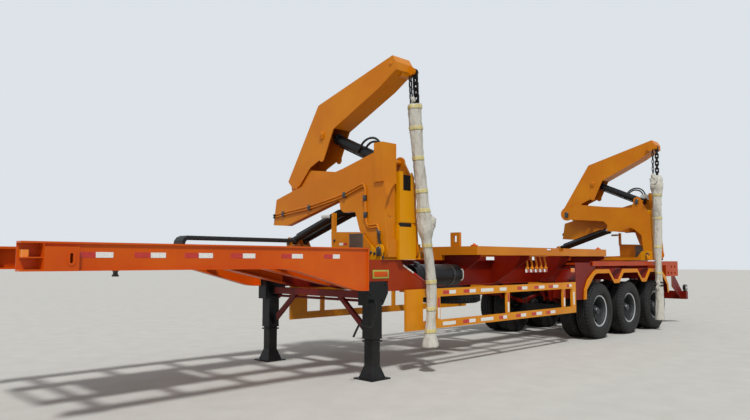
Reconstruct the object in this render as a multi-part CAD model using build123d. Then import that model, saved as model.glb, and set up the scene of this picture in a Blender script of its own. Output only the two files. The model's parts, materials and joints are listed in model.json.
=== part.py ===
"""Sidelifter trailer: a three-axle container chassis with two folding loading cranes.

Millimetres. While it is modelled, Z is the height above the ground, X points to the front
and Y to the left, the side that the cranes lift on. Each file is written with its origin on
the kingpin's axis at the underside of the coupler plate.
"""

import math
import os

from build123d import *

os.makedirs("parts", exist_ok=True)

# Whole trailer
COUPLER_HEIGHT = 1390.0
FRONT_X = 1290.0
REAR_X = -12700.0
HALF_WIDTH = 1250.0
DECK_Z = 1495.0

# Main beams, welded I sections under the cranes
BEAM_Y = 480.0
BEAM_FLANGE = 170.0
BEAM_WEB = 14.0
FLANGE_T = 16.0
BEAM_BOTTOM_Z = 1090.0
NECK_TOP_Z = 1600.0
NECK_REAR_X = -2560.0
COUPLER_T = 12.0
NECK_BOTTOM_Z = COUPLER_HEIGHT + COUPLER_T

# Gooseneck side beams
SIDE_TOP_Z = COUPLER_HEIGHT + 250
SIDE_DEEP_Z = 1110.0
SIDE_BEAM_W = 120.0
SIDE_WEB_INSET = 18.0
SIDE_REAR_X = -2650.0
CORNER_X = 1117.0
CORNER_SHELF_Z = COUPLER_HEIGHT + 110
PLATE_REAR_X = 836.0
PLATE_TOP_Z = COUPLER_HEIGHT + 208
RING_X = 902.0
RING_Z = COUPLER_HEIGHT + 110
RING_W = 70.0
RING_H = 130.0

# Coupler plate and kingpin
COUPLER_FRONT_X = 620.0
COUPLER_REAR_X = -760.0
COUPLER_HALF_Y = 560.0
PIN_R = 35.7
PIN_NECK_R = 25.4
PIN_SHOULDER = 25.0
PIN_NECK = 35.0
PIN_HEAD = 22.0
PIN_ROOT_R = 30.0
PIN_FLANGE_R = 70.0
PIN_FLANGE_T = 10.0

# Container rails and bolsters behind the front crane
RAIL_FRONT_X = -4860.0
RAIL_REAR_X = -9060.0
RAIL_BOTTOM_Z = 1570.0
RAIL_TOP_Z = 1700.0
RAIL_W = 90.0
BOLSTER_W = 180.0
RAIL_NOTCHES = (-7000.0, -7400.0)
GUIDE_Y = 740.0
GUIDE_W = 170.0
GUIDE_H = 215.0
LOCK_Y = 1129.5
LOCK_SIZE = 100.0
LOCK_W = 60.0
LOCK_WELL = 40.0
LOCK_CLEAR = 0.5

# Outriggers that carry the rails
OUTRIGGER_T = 16.0
OUTRIGGER_ROOT = 330.0
OUTRIGGER_TIP = 60.0
OUTRIGGER_COUNT = 4
BAY_Y = HALF_WIDTH - 100
BAY_FRONT_X = -2650.0
BAY_REAR_X = -3310.0
BAY_END_X = -3790.0

# Axles and wheels
AXLE_FRONT_X = -8835.0
AXLE_PITCH = 1310.0
AXLE_COUNT = 3
AXLE_Z = 530.0
AXLE_TUBE = 150.0
AXLE_END_Y = 560.0
SPINDLE_R = 45.0
SPINDLE_END_Y = HALF_WIDTH - 100
TYRE_R = 530.0
TYRE_W = 292.0
TYRE_OUTER_Y = HALF_WIDTH - 15
TWIN_PITCH = 340.0
RIM_R = 298.0
RIM_WALL = 14.0
HUB_R = 150.0
HUB_BORE_CLEAR = 0.5
TYRE_FACETS = 30

# Springs
SPRING_Y = 490.0
SPRING_W = 90.0
SPRING_T = 60.0
SPRING_PIN_R = 24.0
HANGER_T = 20.0
HANGER_W = 110.0

# Fenders
FENDER_TOP_Z = 1320.0
FENDER_DIP_Z = 1120.0
FENDER_FLAT = 330.0
FENDER_DIP_FLAT = 110.0
FENDER_REACH = 690.0
FENDER_SHEET = 8.0
FENDER_EDGE = 75.0
FENDER_END_Z = 775.0
SKIRT_FRONT_X = -7870.0
SKIRT_TOP_Z = 1450.0
SKIRT_T = 6.0
FENDER_INNER_Y = HALF_WIDTH - 660

# Side guard
GUARD_FRONT_X = -3300.0
GUARD_REAR_X = -7815.0
GUARD_TOP_Z = 1100.0
GUARD_BOTTOM_Z = 560.0
GUARD_RAIL_H = 110.0
GUARD_T = 40.0
GUARD_PLATE_W = 330.0
GUARD_POSTS = (-3960.0, -5660.0, -7400.0)
GUARD_POST_W = 70.0
GUARD_END_W = 130.0

# Landing legs
LEG_FRONT_X = -2670.0
LEG_REAR_X = -3030.0
LEG_Y = HALF_WIDTH - 160
LEG_SIZE = 180.0
LEG_TOP_Z = 1220.0
LEG_BOX_BOTTOM_Z = 920.0
LEG_X = -2830.0
LEG_TUBE = 176.0
LEG_TUBE_BOTTOM_Z = 520.0
LEG_INNER = 140.0
LEG_FOOT = 330.0
LEG_FOOT_TOP_Z = 170.0
LEG_SOLE = 18.0
LEG_BRACE_Z = 540.0
LEG_BRACE_W = 50.0

# Tank, spare wheel and rear end
TANK_R = 155.0
TANK_L = 1080.0
TANK_X = -4250.0
TANK_Y = HALF_WIDTH - 350
TANK_Z = 1275.0
SPARE_X = -5750.0
SPARE_TOP_Z = 1068.0
LAMP_BRACKET_H = 340.0
BUMPER_X = -13330.0
BUMPER_Z = 570.0
BUMPER_H = 190.0
REAR_PLATE_L = 680.0
REAR_RAIL_X = -8500.0
REAR_RAIL_H = 90.0
REAR_HOLE_R = 36.0
REAR_HOLES = ((-160, 0.2), (-360, 0.2), (-560, 0.2), (-160, 0.62), (-360, 0.62))

# Cable carrier on the gooseneck
CARRIER_Y = (-260.0, -60.0)
CARRIER_REAR_X = -2500.0
CARRIER_BEND_X = -900.0
CARRIER_H = 195.0
CARRIER_T = 45.0

# Cranes: the outboard face of each, and depths behind it towards the trailer's middle
FRONT_CRANE_X = -2950.0
REAR_CRANE_X = -11950.0
PANEL_DEPTH = 100.0
LEG_DEPTH = 230.0
PLATE_DEPTHS = (150.0, 580.0)
PLATE_T = 30.0
BOOM_DEPTH = (120.0, 450.0)
BOOM_PLATE = 15.0
COLUMN_DEPTH = (270.0, 550.0)
LIFT_DEPTHS = (277.5, 482.5)
LIFT_LUGS = (200.0, 335.0, 410.0, 540.0)
LUG_T = 15.0
BASE_FLOOR_T = 12.0

# Crane pivots in (Y, Z)
ARM_PIVOT = (1140.0, 1620.0)
ARM_PIN_R = 45.0
ARM_END_R = 108.0
BOOM_PIVOT = (-800.0, 2620.0)
BOOM_PIN_R = 50.0
BOOM_END_R = 160.0
LIFT_BASE = (-1080.0, 1790.0)
LIFT_HEAD = (280.0, 2240.0)
LIFT_R = 50.0
LIFT_ROD_R = 32.0
LIFT_PIN_R = 30.0
LIFT_EYE_W = 90.0
FOLD_BASE = (920.0, 2830.0)
FOLD_HEAD = (-200.0, 3330.0)
FOLD_R = 72.0
FOLD_ROD_R = 42.0
FOLD_PIN_R = 35.0
FOLD_EYE_W = 120.0
PIN_CLEAR = 0.3
ROD_CLEAR = 1.0
ARM_TUBES = ((450.0, 2560.0), (-250.0, 2560.0))
ARM_TUBE_R = 50.0
END_BOX_Y = 1030.0

# Crane outlines in (Y, Z)
PANEL = [
    (-1141, 2419), (-1208, 2030), (-870, 2008), (317, 2320), (342, 2190), (413, 2139), (552, 2147), (644, 2134),
    (689, 2001), (734, 1876), (1050, 1560), (1140, 1530), (1240, 1620), (1225, 1830), (1195, 2156), (1226, 2332),
    (1196, 2498), (1155, 3020), (1081, 2924), (397, 2752), (-695, 2536),
]
LEG = [
    (1040, 1590), (1140, 1530), (1240, 1620), (1225, 1830), (1195, 2156), (1226, 2332), (1196, 2498),
    (1190, 2600), (1040, 2600), (950, 2380), (860, 2160), (960, 1800),
]
PLATE = [
    (-900, 2510), (-750, 2480), (120, 2410), (240, 2280), (320, 2160), (500, 2145), (720, 2235), (820, 2210),
    (1000, 2050), (1040, 1590), (1140, 1530), (1240, 1620), (1225, 1830), (1195, 2156), (1200, 2500),
    (1110, 2640), (1000, 2830), (920, 2900), (830, 2780), (800, 2680), (150, 2740), (-500, 2830),
    (-700, 2775), (-900, 2700),
]
TIP = (HALF_WIDTH + 110, 3990.0)
BOOM = [
    (-1007, 2699), (-876, 2573), (-740, 2600), (-470, 2871), (-135, 3009), (42, 3372), (967, 3794),
    (TIP[0] - 66, TIP[1] - 4), (TIP[0] - 70, TIP[1] + 100), (TIP[0] - 132, TIP[1] + 198), (-293, 3775),
]
BOOM_MOUTH = [(-1100, 2600), (-990, 2690), (-700, 2900), (-250, 3300), (30, 3420), (80, 3360), (80, 2400), (-1100, 2400)]
BASE_OUTBOARD = [
    (-1150, 1495), (-1150, 1560), (210, 1600), (201, 1878), (801, 1858), (1060, 1620), (1075, 1580), (1200, 1560),
    (1180, 1495),
]
BASE_INBOARD = [(-1150, 1495), (-1150, 1560), (900, 1560), (1010, 1700), (1235, 1700), (1235, 1495)]
LIFT_LUG = [(-1148, 1500), (-1135, 1790), (-1080, 1845), (-1025, 1790), (-850, 1500)]
LOUVRE = (592.0, 829.0, 1562.0, 1830.0)
LOUVRE_SLATS = 9
POST_Y = 205.0
POST_TOP_Z = 2142.0
PIVOT_BLOCK = [(1000, 1500), (1000, 1700), (1220, 1700), (1220, 1500)]

# Hollow in the arm's outer side, as (depth, Z) from the top of its curved edge
CHEEK_DEPTH = 231.0
CHEEK_Y = 1165.0
CHEEK_LOW_Y = 1202.0
CHEEK_LOW_Z = 1760.0
CHEEK_TOP_Z = 2175.0
CHEEK = ((200.0, 2490.0), (CHEEK_DEPTH, 2490.0), (CHEEK_DEPTH, CHEEK_LOW_Z), (14.0, CHEEK_LOW_Z), (12.0, 2190.0))
CHEEK_MID = (62.0, 2345.0)

# Column and stabiliser leg
COLUMN_Y = (1000.0, 1220.0)
STAB_TOP_Z = 2660.0
STAB_WALL = 12.0
SLEEVE_T = 14.0
SLEEVE_TOP_Z = 1945.0
SLEEVE_GAP = 40.0

# Chains at the arms' tips
CHAIN_PIN_R = 16.0
CHAIN_SLOT = 40.0
CHAIN_LINK_L = 130.0
CHAIN_LINK_W = 84.0
CHAIN_WIRE = 24.0
CHAIN_CLEAR = 1.0
CHAIN_PITCH = CHAIN_LINK_L - 2 * CHAIN_WIRE - CHAIN_CLEAR
FRONT_CHAIN = (420.0, 670.0)
REAR_CHAIN = (520.0, 650.0)
FRONT_WRAP = (3330.0, 350.0)
REAR_WRAP = (3250.0, 210.0)
FRONT_SLEEVE = (62, 70, 68, 66, 90, 62, 60, 86)
REAR_SLEEVE = (84, 66, 62, 62, 62, 62, 66, 88)


def save(name, shape):
    """Writes one node, moved so that the coupler plate's underside is at zero."""
    export_step(Pos(0, 0, -COUPLER_HEIGHT) * shape, f"parts/{name}.step")


def box(x0, x1, y0, y1, z0, z1):
    """A block between two corners."""
    size = (abs(x1 - x0), abs(y1 - y0), abs(z1 - z0))
    return Pos((x0 + x1) / 2, (y0 + y1) / 2, (z0 + z1) / 2) * Box(*size)


def side_slab(points, y0, y1, radii=None):
    """A plate whose outline is drawn in (X, Z), from y0 to y1."""
    face = Polygon(*points, align=None)
    for index, radius in (radii or {}).items():
        corner = face.vertices().sort_by_distance((points[index][0], points[index][1], 0))[0]
        face = fillet(corner, radius)
    return extrude(Plane.XZ.offset(-min(y0, y1)) * face, abs(y1 - y0), dir=(0, 1, 0))


def cross_slab(points, x0, x1):
    """A plate whose outline is drawn in (Y, Z), from x0 to x1, the lower of the two first."""
    plane = Plane(origin=(x0, 0, 0), x_dir=(0, 1, 0), z_dir=(1, 0, 0))
    face = Polygon(*points, align=None) if isinstance(points, list) else points
    return extrude(plane * face, x1 - x0, dir=(1, 0, 0))


def round_x(x0, x1, centre, radius):
    """A round bar along X."""
    return Pos((x0 + x1) / 2, centre[0], centre[1]) * Rot(0, 90, 0) * Cylinder(radius, abs(x1 - x0))


def round_y(x, z, y0, y1, radius):
    """A round bar along Y."""
    return Pos(x, (y0 + y1) / 2, z) * Rot(90, 0, 0) * Cylinder(radius, abs(y1 - y0))


def both_sides(shape):
    """A shape and its mirror image on the other side of the trailer."""
    return [shape, mirror(shape, Plane.XZ)]


def i_beam(points, radii, y, width, web, inset=None):
    """A welded beam along X: its outline in (X, Z), with pockets that leave web and flanges."""
    outer = side_slab(points, y - width / 2, y + width / 2, radii)
    face = Polygon(*points, align=None)
    for index, radius in radii.items():
        corner = face.vertices().sort_by_distance((points[index][0], points[index][1], 0))[0]
        face = fillet(corner, radius)
    pocket = offset(face, -FLANGE_T, kind=Kind.INTERSECTION)
    web_y = y if inset is None else y + width / 2 - inset - web / 2
    left = extrude(Plane.XZ.offset(-(web_y + web / 2)) * pocket, width, dir=(0, 1, 0))
    right = extrude(Plane.XZ.offset(-(web_y - web / 2)) * pocket, width, dir=(0, -1, 0))
    return outer - left - right


# Chassis
def main_beams():
    points = [
        (FRONT_X, NECK_BOTTOM_Z), (FRONT_X, NECK_TOP_Z), (NECK_REAR_X, NECK_TOP_Z),
        (NECK_REAR_X - 160, DECK_Z), (REAR_X, DECK_Z), (REAR_X, BEAM_BOTTOM_Z + 160),
        (REAR_X + 500, BEAM_BOTTOM_Z), (-2900, BEAM_BOTTOM_Z), (-1500, NECK_BOTTOM_Z),
    ]
    beam = i_beam(points, {7: 1500.0, 8: 1500.0}, BEAM_Y, BEAM_FLANGE, BEAM_WEB)
    return Compound(both_sides(beam))


def gooseneck_beams():
    points = [
        (FRONT_X, COUPLER_HEIGHT), (FRONT_X, SIDE_TOP_Z), (SIDE_REAR_X, SIDE_TOP_Z),
        (SIDE_REAR_X, SIDE_DEEP_Z), (-2480, SIDE_DEEP_Z), (-1450, COUPLER_HEIGHT),
    ]
    y = HALF_WIDTH - 30 - SIDE_BEAM_W / 2
    beam = i_beam(points, {4: 700.0, 5: 1500.0}, y, SIDE_BEAM_W, BEAM_WEB, SIDE_WEB_INSET)
    y_in, y_out = y - SIDE_BEAM_W / 2, y + SIDE_BEAM_W / 2
    low, high = COUPLER_HEIGHT + FLANGE_T, SIDE_TOP_Z - FLANGE_T
    beam -= box(CORNER_X, FRONT_X + 1, y_in - 1, y_out + 1, low, high)
    beam += box(CORNER_X, FRONT_X, y_in, y_in + 8, low, high)
    beam += box(CORNER_X - 8, CORNER_X, y_in, y_out, low, high)
    beam += box(CORNER_X, FRONT_X - 20, y_in + 8, y_out, CORNER_SHELF_Z, CORNER_SHELF_Z + 10)
    plate = box(PLATE_REAR_X, CORNER_X, y_out - SIDE_WEB_INSET, HALF_WIDTH, COUPLER_HEIGHT, PLATE_TOP_Z)
    plate -= box(PLATE_REAR_X + 8, CORNER_X - 8, y_out - SIDE_WEB_INSET - 1, HALF_WIDTH - 8, low, PLATE_TOP_Z - 8)
    ring = Pos(RING_X, RING_Z) * (SlotOverall(RING_H, RING_W, rotation=90) - SlotOverall(RING_H - 44, RING_W - 44, rotation=90))
    hole = Pos(RING_X, RING_Z) * SlotOverall(RING_H - 44, RING_W - 44, rotation=90)
    plate -= extrude(Plane.XZ.offset(-(HALF_WIDTH + 1)) * hole, 20, dir=(0, -1, 0))
    plate += extrude(Plane.XZ.offset(-(HALF_WIDTH - 8)) * ring, 14, dir=(0, 1, 0))
    return Compound(both_sides(beam + plate))


def coupler_plate():
    plate = box(COUPLER_REAR_X, COUPLER_FRONT_X, -COUPLER_HALF_Y, COUPLER_HALF_Y,
                COUPLER_HEIGHT, COUPLER_HEIGHT + COUPLER_T)
    return plate - Pos(0, 0, COUPLER_HEIGHT) * Cylinder(PIN_R + PIN_CLEAR, 4 * COUPLER_T)


def kingpin():
    z = COUPLER_HEIGHT
    shoulder = Pos(0, 0, z - PIN_SHOULDER / 2) * Cylinder(PIN_R, PIN_SHOULDER)
    neck = Pos(0, 0, z - PIN_SHOULDER - PIN_NECK / 2) * Cylinder(PIN_NECK_R, PIN_NECK)
    head = Pos(0, 0, z - PIN_SHOULDER - PIN_NECK - PIN_HEAD / 2) * Cylinder(PIN_R, PIN_HEAD)
    root = Pos(0, 0, z + COUPLER_T / 2) * Cylinder(PIN_ROOT_R, COUPLER_T)
    flange = Pos(0, 0, z + COUPLER_T + PIN_FLANGE_T / 2) * Cylinder(PIN_FLANGE_R, PIN_FLANGE_T)
    return flange + root + shoulder + neck + head


def cross_members():
    inner = BEAM_Y - BEAM_WEB / 2
    edge = HALF_WIDTH - 30 - SIDE_WEB_INSET - BEAM_WEB
    pieces = [box(FRONT_X, FRONT_X - 12, -BEAM_Y + BEAM_FLANGE / 2, BEAM_Y - BEAM_FLANGE / 2,
                  NECK_BOTTOM_Z, NECK_TOP_Z)]
    for x in (900, 0, -900, -1800):
        pieces.append(box(x - 40, x + 40, -inner, inner, NECK_BOTTOM_Z + FLANGE_T, NECK_TOP_Z - FLANGE_T))
        for side in (1, -1):
            y0, y1 = side * (BEAM_Y + BEAM_WEB / 2), side * edge
            pieces.append(box(x - 40, x + 40, y0, y1, NECK_BOTTOM_Z + FLANGE_T, NECK_TOP_Z - FLANGE_T))
    for x in (-3100, -3900, -4900, -6300, -7700, -8180, -9490, -10800, -12110):
        pieces.append(box(x - 40, x + 40, -inner, inner, BEAM_BOTTOM_Z + 120, DECK_Z - FLANGE_T - 20))
    return Compound(pieces)


def outriggers():
    """Tapered brackets from the main beams to the rails, and the closed bays under the front crane."""
    root = BEAM_Y + BEAM_WEB / 2
    tip = HALF_WIDTH
    edge = BEAM_Y + BEAM_FLANGE / 2
    top, bottom = DECK_Z - FLANGE_T, BEAM_BOTTOM_Z + FLANGE_T
    pieces = []
    step = (RAIL_REAR_X - RAIL_FRONT_X + BOLSTER_W) / (OUTRIGGER_COUNT - 1)
    for index in range(OUTRIGGER_COUNT):
        low = bottom if index < OUTRIGGER_COUNT - 1 else FENDER_TOP_Z + 60
        outline = [
            (root, low), (root, top), (edge, top), (edge, RAIL_BOTTOM_Z), (tip, RAIL_BOTTOM_Z),
            (tip, RAIL_BOTTOM_Z - OUTRIGGER_TIP), (edge, low),
        ]
        x = RAIL_FRONT_X - BOLSTER_W / 2 + index * step
        pieces += both_sides(cross_slab(outline, x - OUTRIGGER_T / 2, x + OUTRIGGER_T / 2))
    low = LEG_TOP_Z
    bay = [(root, low), (root, top), (edge, top), (edge, DECK_Z), (BAY_Y, DECK_Z), (BAY_Y, low)]
    for x in (BAY_FRONT_X, BAY_REAR_X):
        pieces += both_sides(cross_slab(bay, x - OUTRIGGER_T, x))
    wall = [
        (BAY_FRONT_X, DECK_Z), (BAY_REAR_X, DECK_Z), (BAY_REAR_X, 1445), (BAY_END_X, 1200), (BAY_END_X, BEAM_BOTTOM_Z),
        (LEG_REAR_X - 15, BEAM_BOTTOM_Z), (LEG_REAR_X - 15, low), (BAY_FRONT_X, low),
    ]
    pieces += both_sides(side_slab(wall, BAY_Y, BAY_Y + 12))
    ledge = [(BAY_REAR_X, 1445), (BAY_REAR_X, 1457), (BAY_END_X, 1212), (BAY_END_X, 1200)]
    pieces += both_sides(side_slab(ledge, BAY_Y - 60, BAY_Y))
    return Compound(pieces)


def container_rails():
    """Rails along both sides, with a bolster across the trailer at each end."""
    outline = [
        (RAIL_FRONT_X, RAIL_BOTTOM_Z), (RAIL_FRONT_X, RAIL_TOP_Z),
        (RAIL_REAR_X, RAIL_TOP_Z), (RAIL_REAR_X, RAIL_BOTTOM_Z),
    ]
    rail = side_slab(outline, HALF_WIDTH - RAIL_W, HALF_WIDTH)
    slot = box(RAIL_REAR_X + BOLSTER_W, RAIL_FRONT_X - BOLSTER_W, HALF_WIDTH - RAIL_W - 1, HALF_WIDTH - 12,
               RAIL_BOTTOM_Z + 12, RAIL_TOP_Z - 12)
    frame = (rail - slot) + mirror(rail - slot, Plane.XZ)
    for x in (RAIL_FRONT_X - BOLSTER_W, RAIL_REAR_X):
        frame += box(x, x + BOLSTER_W, -HALF_WIDTH + 1, HALF_WIDTH - 1, RAIL_BOTTOM_Z, RAIL_TOP_Z)
        for side in (1, -1):
            seat_y = side * BEAM_Y
            frame += box(x, x + BOLSTER_W, seat_y - BEAM_FLANGE / 2, seat_y + BEAM_FLANGE / 2,
                         DECK_Z, RAIL_BOTTOM_Z)
            y, half = side * LOCK_Y, LOCK_W / 2 + LOCK_CLEAR
            frame -= box(x + BOLSTER_W / 2 - LOCK_SIZE / 2 - LOCK_CLEAR, x + BOLSTER_W / 2 + LOCK_SIZE / 2 + LOCK_CLEAR,
                         y - half, y + half, RAIL_TOP_Z - LOCK_WELL, RAIL_TOP_Z + 1)
    guide = box(RAIL_FRONT_X - 60, RAIL_FRONT_X - 10, GUIDE_Y, GUIDE_Y + GUIDE_W, RAIL_TOP_Z, RAIL_TOP_Z + GUIDE_H)
    guide -= box(RAIL_FRONT_X - 61, RAIL_FRONT_X - 9, GUIDE_Y + 50, GUIDE_Y + GUIDE_W - 50,
                 RAIL_TOP_Z + 70, RAIL_TOP_Z + GUIDE_H - 50)
    frame += guide
    for x in RAIL_NOTCHES:
        frame -= box(x, x + 150, HALF_WIDTH - RAIL_W - 1, HALF_WIDTH + 1, RAIL_TOP_Z - 60, RAIL_TOP_Z + 1)
    return frame


def twistlocks():
    pieces = []
    for x in (RAIL_FRONT_X - BOLSTER_W / 2, RAIL_REAR_X + BOLSTER_W / 2):
        for y in (LOCK_Y, -LOCK_Y):
            body = box(x - LOCK_SIZE / 2, x + LOCK_SIZE / 2, y - LOCK_W / 2, y + LOCK_W / 2,
                       RAIL_TOP_Z - LOCK_WELL, RAIL_TOP_Z + 20)
            head = Pos(x, y, RAIL_TOP_Z + 20 + 12) * Cone(30, 14, 24)
            pieces.append(body + head)
    return Compound(pieces)


def guard(side):
    """Side guard of two rails, posts and a wide front plate, on brackets from the main beam."""
    y0, y1 = side * (HALF_WIDTH - GUARD_T), side * HALF_WIDTH
    shape = box(GUARD_REAR_X, GUARD_FRONT_X, y0, y1, GUARD_TOP_Z - GUARD_RAIL_H, GUARD_TOP_Z)
    shape += box(GUARD_REAR_X, GUARD_FRONT_X, y0, y1, GUARD_BOTTOM_Z, GUARD_BOTTOM_Z + GUARD_RAIL_H)
    shape += box(GUARD_FRONT_X - GUARD_PLATE_W, GUARD_FRONT_X, y0, y1, GUARD_BOTTOM_Z, GUARD_TOP_Z)
    shape += box(GUARD_REAR_X, GUARD_REAR_X + GUARD_END_W, y0, y1, GUARD_BOTTOM_Z, GUARD_TOP_Z)
    arm_y0 = side * (BEAM_Y + BEAM_FLANGE / 2 - 25)
    for x in GUARD_POSTS:
        shape += box(x - GUARD_POST_W / 2, x + GUARD_POST_W / 2, y0, y1, GUARD_BOTTOM_Z, GUARD_TOP_Z)
        shape += box(x - GUARD_POST_W / 2, x + GUARD_POST_W / 2, arm_y0, y1, BEAM_BOTTOM_Z - 60, BEAM_BOTTOM_Z)
    return shape


def landing_legs():
    """Two-speed landing legs, wound down on their feet."""
    half = LEG_SIZE / 2
    outline = [
        (LEG_FRONT_X, LEG_BOX_BOTTOM_Z), (LEG_FRONT_X, LEG_TOP_Z), (LEG_REAR_X, LEG_TOP_Z),
        (LEG_REAR_X, LEG_BOX_BOTTOM_Z + 150), (LEG_X - LEG_TUBE / 2 - 20, LEG_BOX_BOTTOM_Z),
    ]
    leg = side_slab(outline, LEG_Y - half, LEG_Y + half, {2: 80.0, 3: 60.0})
    at = Pos(LEG_X, LEG_Y)
    leg += box(LEG_X - LEG_TUBE / 2, LEG_X + LEG_TUBE / 2, LEG_Y - LEG_TUBE / 2, LEG_Y + LEG_TUBE / 2,
               LEG_TUBE_BOTTOM_Z, LEG_BOX_BOTTOM_Z)
    leg += box(LEG_X - LEG_INNER / 2, LEG_X + LEG_INNER / 2, LEG_Y - LEG_INNER / 2, LEG_Y + LEG_INNER / 2,
               LEG_FOOT_TOP_Z, LEG_TUBE_BOTTOM_Z)
    top = Plane.XY.offset(LEG_FOOT_TOP_Z) * (at * Rectangle(LEG_INNER, LEG_INNER))
    low = Plane.XY.offset(LEG_SOLE) * (at * Rectangle(LEG_FOOT - 90, LEG_FOOT - 90))
    leg += loft([low.face(), top.face()])
    leg += box(LEG_X - LEG_FOOT / 2, LEG_X + LEG_FOOT / 2, LEG_Y - LEG_FOOT / 2, LEG_Y + LEG_FOOT / 2, 0, LEG_SOLE)
    beam = box(LEG_X - 60, LEG_X + 60, -LEG_Y + half, LEG_Y - half, BEAM_BOTTOM_Z - 90, BEAM_BOTTOM_Z)
    shaft = round_y(LEG_X - 20, 965, -LEG_Y + half, LEG_Y - half, 18)
    stub = round_y(LEG_FRONT_X - 60, LEG_BOX_BOTTOM_Z + 60, LEG_Y + half, LEG_Y + half + 45, 20)
    inner, top = LEG_Y - LEG_TUBE / 2, BEAM_BOTTOM_Z - 90
    brace = [(inner, LEG_BRACE_Z), (inner, LEG_BRACE_Z + 90), (BEAM_Y + 60, top), (BEAM_Y - 30, top)]
    leg += cross_slab(brace, LEG_X - LEG_BRACE_W / 2, LEG_X + LEG_BRACE_W / 2)
    return leg + mirror(leg, Plane.XZ) + beam + shaft + stub


def axle_x(index):
    return AXLE_FRONT_X - index * AXLE_PITCH


def axles():
    pieces = []
    for index in range(AXLE_COUNT):
        x = axle_x(index)
        beam = box(x - AXLE_TUBE / 2, x + AXLE_TUBE / 2, -AXLE_END_Y, AXLE_END_Y,
                   AXLE_Z - AXLE_TUBE / 2, AXLE_Z + AXLE_TUBE / 2)
        pieces.append(beam + round_y(x, AXLE_Z, -SPINDLE_END_Y, SPINDLE_END_Y, SPINDLE_R))
    return Compound(pieces)


def suspension():
    """Leaf springs on hangers under the main beams."""
    top = BEAM_BOTTOM_Z
    pieces = []
    for side in (1, -1):
        y0, y1 = side * SPRING_Y - SPRING_W / 2, side * SPRING_Y + SPRING_W / 2
        for index in range(AXLE_COUNT):
            x = axle_x(index)
            seat = AXLE_Z + AXLE_TUBE / 2
            reach = AXLE_PITCH / 2 - SPRING_PIN_R - 0.2
            outline = [
                (x - reach, seat + 170), (x - 80, seat), (x + 80, seat), (x + reach, seat + 170),
                (x + reach, seat + 170 + 25), (x + 100, seat + SPRING_T + 20), (x - 100, seat + SPRING_T + 20),
                (x - reach, seat + 170 + 25),
            ]
            pieces.append(side_slab(outline, y0, y1))
        for index in range(AXLE_COUNT + 1):
            x = AXLE_FRONT_X + AXLE_PITCH / 2 - index * AXLE_PITCH
            outline = [
                (x - 60, AXLE_Z + AXLE_TUBE / 2 + 120), (x + 60, AXLE_Z + AXLE_TUBE / 2 + 120),
                (x + 180, top), (x - 180, top),
            ]
            for plate_y in (y0 - HANGER_T - 1, y1 + 1):
                pieces.append(side_slab(outline, plate_y, plate_y + HANGER_T))
            pieces.append(round_y(x, AXLE_Z + AXLE_TUBE / 2 + 182, y0 - 1, y1 + 1, SPRING_PIN_R))
    return Compound(pieces)


def fender_line(lower):
    """The fenders' outline in (X, Z), front to rear: flat over each wheel, with a dip between two wheels."""
    top, dip, end = FENDER_TOP_Z - lower, FENDER_DIP_Z - lower, FENDER_REACH - lower
    first, last = axle_x(0), axle_x(AXLE_COUNT - 1)
    line = [(first + end, FENDER_END_Z), (first + end - 20, FENDER_END_Z + 170), (first + end - 150, top - 190),
            (first + FENDER_FLAT - 40, top - 40)]
    for index in range(AXLE_COUNT):
        x = axle_x(index)
        line += [(x + FENDER_FLAT - 150 * (index == 0), top), (x - FENDER_FLAT + 150 * (index == AXLE_COUNT - 1), top)]
        if index < AXLE_COUNT - 1:
            middle = x - AXLE_PITCH / 2
            line += [(middle + FENDER_DIP_FLAT, dip), (middle - FENDER_DIP_FLAT, dip)]
    line += [(last - FENDER_FLAT + 40, top - 40), (last - end + 150, top - 190), (last - end + 20, FENDER_END_Z + 170),
             (last - end, FENDER_END_Z)]
    return line


def fenders():
    """A sheet over the wheels with a deep edge on the outer side, and the skirt in front of it."""
    upper = fender_line(0)
    sheet = Polygon(*upper, *reversed(fender_line(FENDER_SHEET)), align=None)
    edge = Polygon(*upper, *reversed(fender_line(FENDER_EDGE)), align=None)
    y_out = HALF_WIDTH
    shape = extrude(Plane.XZ.offset(-FENDER_INNER_Y) * sheet, y_out - FENDER_INNER_Y, dir=(0, 1, 0))
    shape += extrude(Plane.XZ.offset(-(y_out - FENDER_SHEET)) * edge, FENDER_SHEET, dir=(0, 1, 0))
    skirt = [(SKIRT_FRONT_X, FENDER_END_Z), (SKIRT_FRONT_X, SKIRT_TOP_Z), (upper[4][0], SKIRT_TOP_Z)]
    skirt += [(x, z - 1) for x, z in reversed(upper[1:5])] + [(upper[0][0] - 1, FENDER_END_Z)]
    shape += side_slab(skirt, y_out - 30 - SKIRT_T, y_out - 30)
    for index in range(AXLE_COUNT):
        x = axle_x(index)
        shape += box(x - 30, x + 30, BEAM_Y + BEAM_FLANGE / 2, FENDER_INNER_Y + 20, FENDER_TOP_Z - 4, FENDER_TOP_Z + 60)
        shape += box(x - 30, x + 30, BEAM_Y + BEAM_WEB / 2, BEAM_Y + BEAM_FLANGE / 2, FENDER_TOP_Z + 20,
                     FENDER_TOP_Z + 60)
    return Compound(both_sides(shape))


def faceted_ring(outline, sides):
    """A ring of flat facets about Y: its outline in (radius, Y) turned in even steps, a corner lowest."""
    def at(point, step):
        angle = 2 * math.pi * step / sides - math.pi / 2
        return point[0] * math.cos(angle), point[1], point[0] * math.sin(angle)

    facets = []
    for step in range(sides):
        for a, b in zip(outline, outline[1:] + outline[:1]):
            corners = [at(a, step), at(b, step), at(b, step + 1), at(a, step + 1)]
            facets.append(Face(Wire.make_polygon(corners)))
    return Solid(Shell(facets))


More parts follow.
